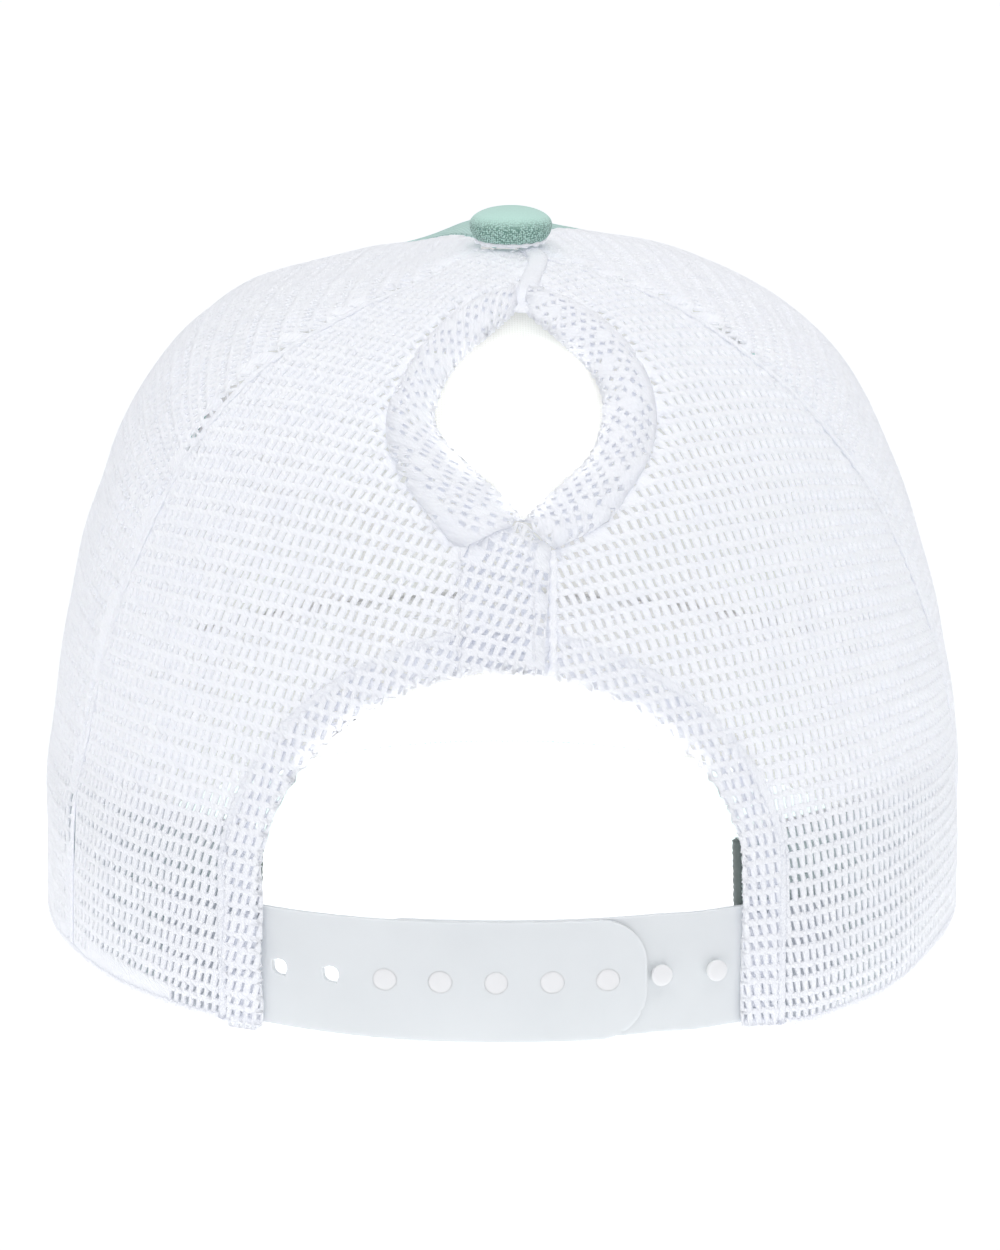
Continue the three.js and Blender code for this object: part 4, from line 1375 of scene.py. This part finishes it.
def makeFloor(values):
    deselectAll()
    below = (0, 0, -values["sink"] / 1000)
    bpy.ops.mesh.primitive_plane_add(size=values["size"] / 1000, location=below)
    floor = nameNew("studioFloor")
    tableTop, tree = newMaterial("opal light table")
    place = addNode(tree, "ShaderNodeTexCoord").outputs["Object"]
    lamp = [value / 1000 for value in values["lampPlace"]]
    distance = addNode(tree, "ShaderNodeVectorMath", {"operation": "DISTANCE", 1: lamp}, {0: place})
    glow = addNode(tree, "ShaderNodeMapRange", {
        "interpolation_type": "SMOOTHSTEP", "From Min": values["lampInner"] / 1000,
        "From Max": values["lampOuter"] / 1000, "To Min": values["lampGlow"], "To Max": values["glow"],
    }, {"Value": distance.outputs["Value"]})
    shader = addNode(tree, "ShaderNodeBsdfPrincipled", {
        "Base Color": toLinear(values["colour"]), "Roughness": 0.8, "Emission Color": (1, 1, 1, 1),
    }, {"Emission Strength": glow.outputs["Result"]})
    addNode(tree, "ShaderNodeOutputMaterial", {}, {"Surface": shader.outputs["BSDF"]})
    floor.data.materials.append(tableTop)
    floor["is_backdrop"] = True


makeFloor(floorValues)


def addObject(name, data):
    thing = bpy.data.objects.new(name, data)
    bpy.context.scene.collection.objects.link(thing)
    return thing


# Studio light: a white dome, broad light from overhead and a soft key from behind the camera
studio = {
    "dome": "#f8f9ff", "domeStrength": 0.42,
    "overhead": {"strength": 1.33, "spread": 80, "elevation": 80},
    "key": {"strength": 0.26, "spread": 45, "elevation": 32},
}
world = bpy.data.worlds.new("studio dome")
bpy.context.scene.world = world
world.use_nodes = True
dome = world.node_tree.nodes["Background"]
dome.inputs["Color"].default_value = toLinear(studio["dome"])
dome.inputs["Strength"].default_value = studio["domeStrength"]
for name in ("overhead", "key"):
    values = studio[name]
    light = bpy.data.lights.new(name, "SUN")
    light.energy = values["strength"]
    light.angle = math.radians(values["spread"])
    lamp = addObject(name, light)
    lamp.rotation_euler = (math.radians(values["elevation"] - 90), 0, 0)

# Camera at the photograph's angle: behind the cap, 14.4 degrees over the plane of its rim
shot = {
    "elevation": 14.4, "distance": 1300.0, "aim": (0.0, 0.0, 60.0), "focal": 6610.0,
    "frame": (1000, 1250), "aimPixel": (502.0, 610.0), "sensor": 36.0,
}
aim = toWorld(np.array(shot["aim"]))
tilt = math.radians(shot["elevation"] - crown["restPitch"])
away = np.array((0.0, math.cos(tilt), math.sin(tilt)))
lens = bpy.data.cameras.new("photoCamera")
lens.sensor_width = shot["sensor"]
lens.lens = shot["focal"] / shot["frame"][1] * shot["sensor"]
lens.shift_x = (shot["frame"][0] / 2 - shot["aimPixel"][0]) / shot["frame"][1]
lens.shift_y = (shot["aimPixel"][1] - shot["frame"][1] / 2) / shot["frame"][1]
lens.clip_end = 50
camera = addObject("photoCamera", lens)
camera.location = aim + away * shot["distance"] / 1000
camera.rotation_euler = (math.pi / 2 - tilt, 0, math.pi)
bpy.context.scene.camera = camera

# Snooted lamps on the camera's line of sight shine in through the ponytail hole and the arch, so that the
# lining, sweatband and brim seen straight through them are as white as the table. Each is given as its x, z
# and radius at the crown in mm; the narrowest cone is one degree, so a small one stands nearer.
beams = {
    "power": 30.0, "blend": 0.1, "inside": 170, "softness": 2, "narrowest": 1.02,
    "ponytailHole": ((-3.8, 113, 13.3), (5.2, 113.2, 8), (-11.4, 113.2, 7.8), (2.6, 118.6, 6.6),
                     (-9.6, 118.6, 6.6), (3.6, 109, 6.3), (-10.8, 108.6, 6.3), (-4.4, 103.4, 6),
                     (-4, 99.6, 2.9), (-3.4, 121.8, 5.3)),
    "archMiddle": ((-22, 52.5, 11.6), (-11, 54.5, 11.6), (0, 55.5, 11.6), (11, 54.5, 11.6), (22, 52.5, 11.6)),
    "middlePower": 0.4, "archEnds": 33, "archSpots": 15, "archRadii": (7.2, 4.4),
}
spots = [(*spot, beams["power"]) for spot in beams["ponytailHole"]]
spots += [(*spot, beams["power"] * beams["middlePower"]) for spot in beams["archMiddle"]]
for x in np.linspace(-beams["archEnds"], beams["archEnds"], beams["archSpots"]):
    share = (1 - abs(x / arch["halfWidth"]) ** arch["power"]) ** (1 / arch["power"])
    radius = mix(*beams["archRadii"], abs(x) / beams["archEnds"])
    spots.append((x, mix(arch["leg"], arch["top"], share) - radius, radius, beams["power"]))
for x, z, radius, power in spots:
    spot = mathutils.Vector(toWorld(crownSurface(*backPlace(x, z))))
    sight = mathutils.Vector(camera.location) - spot
    near = radius / 1000 / math.tan(math.radians(beams["narrowest"] / 2))
    distance = min(sight.length, near)
    light = bpy.data.lights.new("snootedLamp", "SPOT")
    light.energy = power * ((distance * 1000 + beams["inside"]) / shot["distance"]) ** 2
    light.spot_blend = beams["blend"]
    light.shadow_soft_size = beams["softness"] / 1000
    light.spot_size = 2 * math.atan(radius / 1000 / distance)
    lamp = addObject("snootedLamp", light)
    lamp.location = spot + sight.normalized() * distance
    lamp.rotation_euler = sight.to_track_quat("Z", "Y").to_euler()
bpy.context.scene.view_settings.view_transform = "Standard"
print("studio set")

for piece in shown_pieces():
    print(piece.name, "triangles", sum(len(p.vertices) - 2 for p in piece.data.polygons))
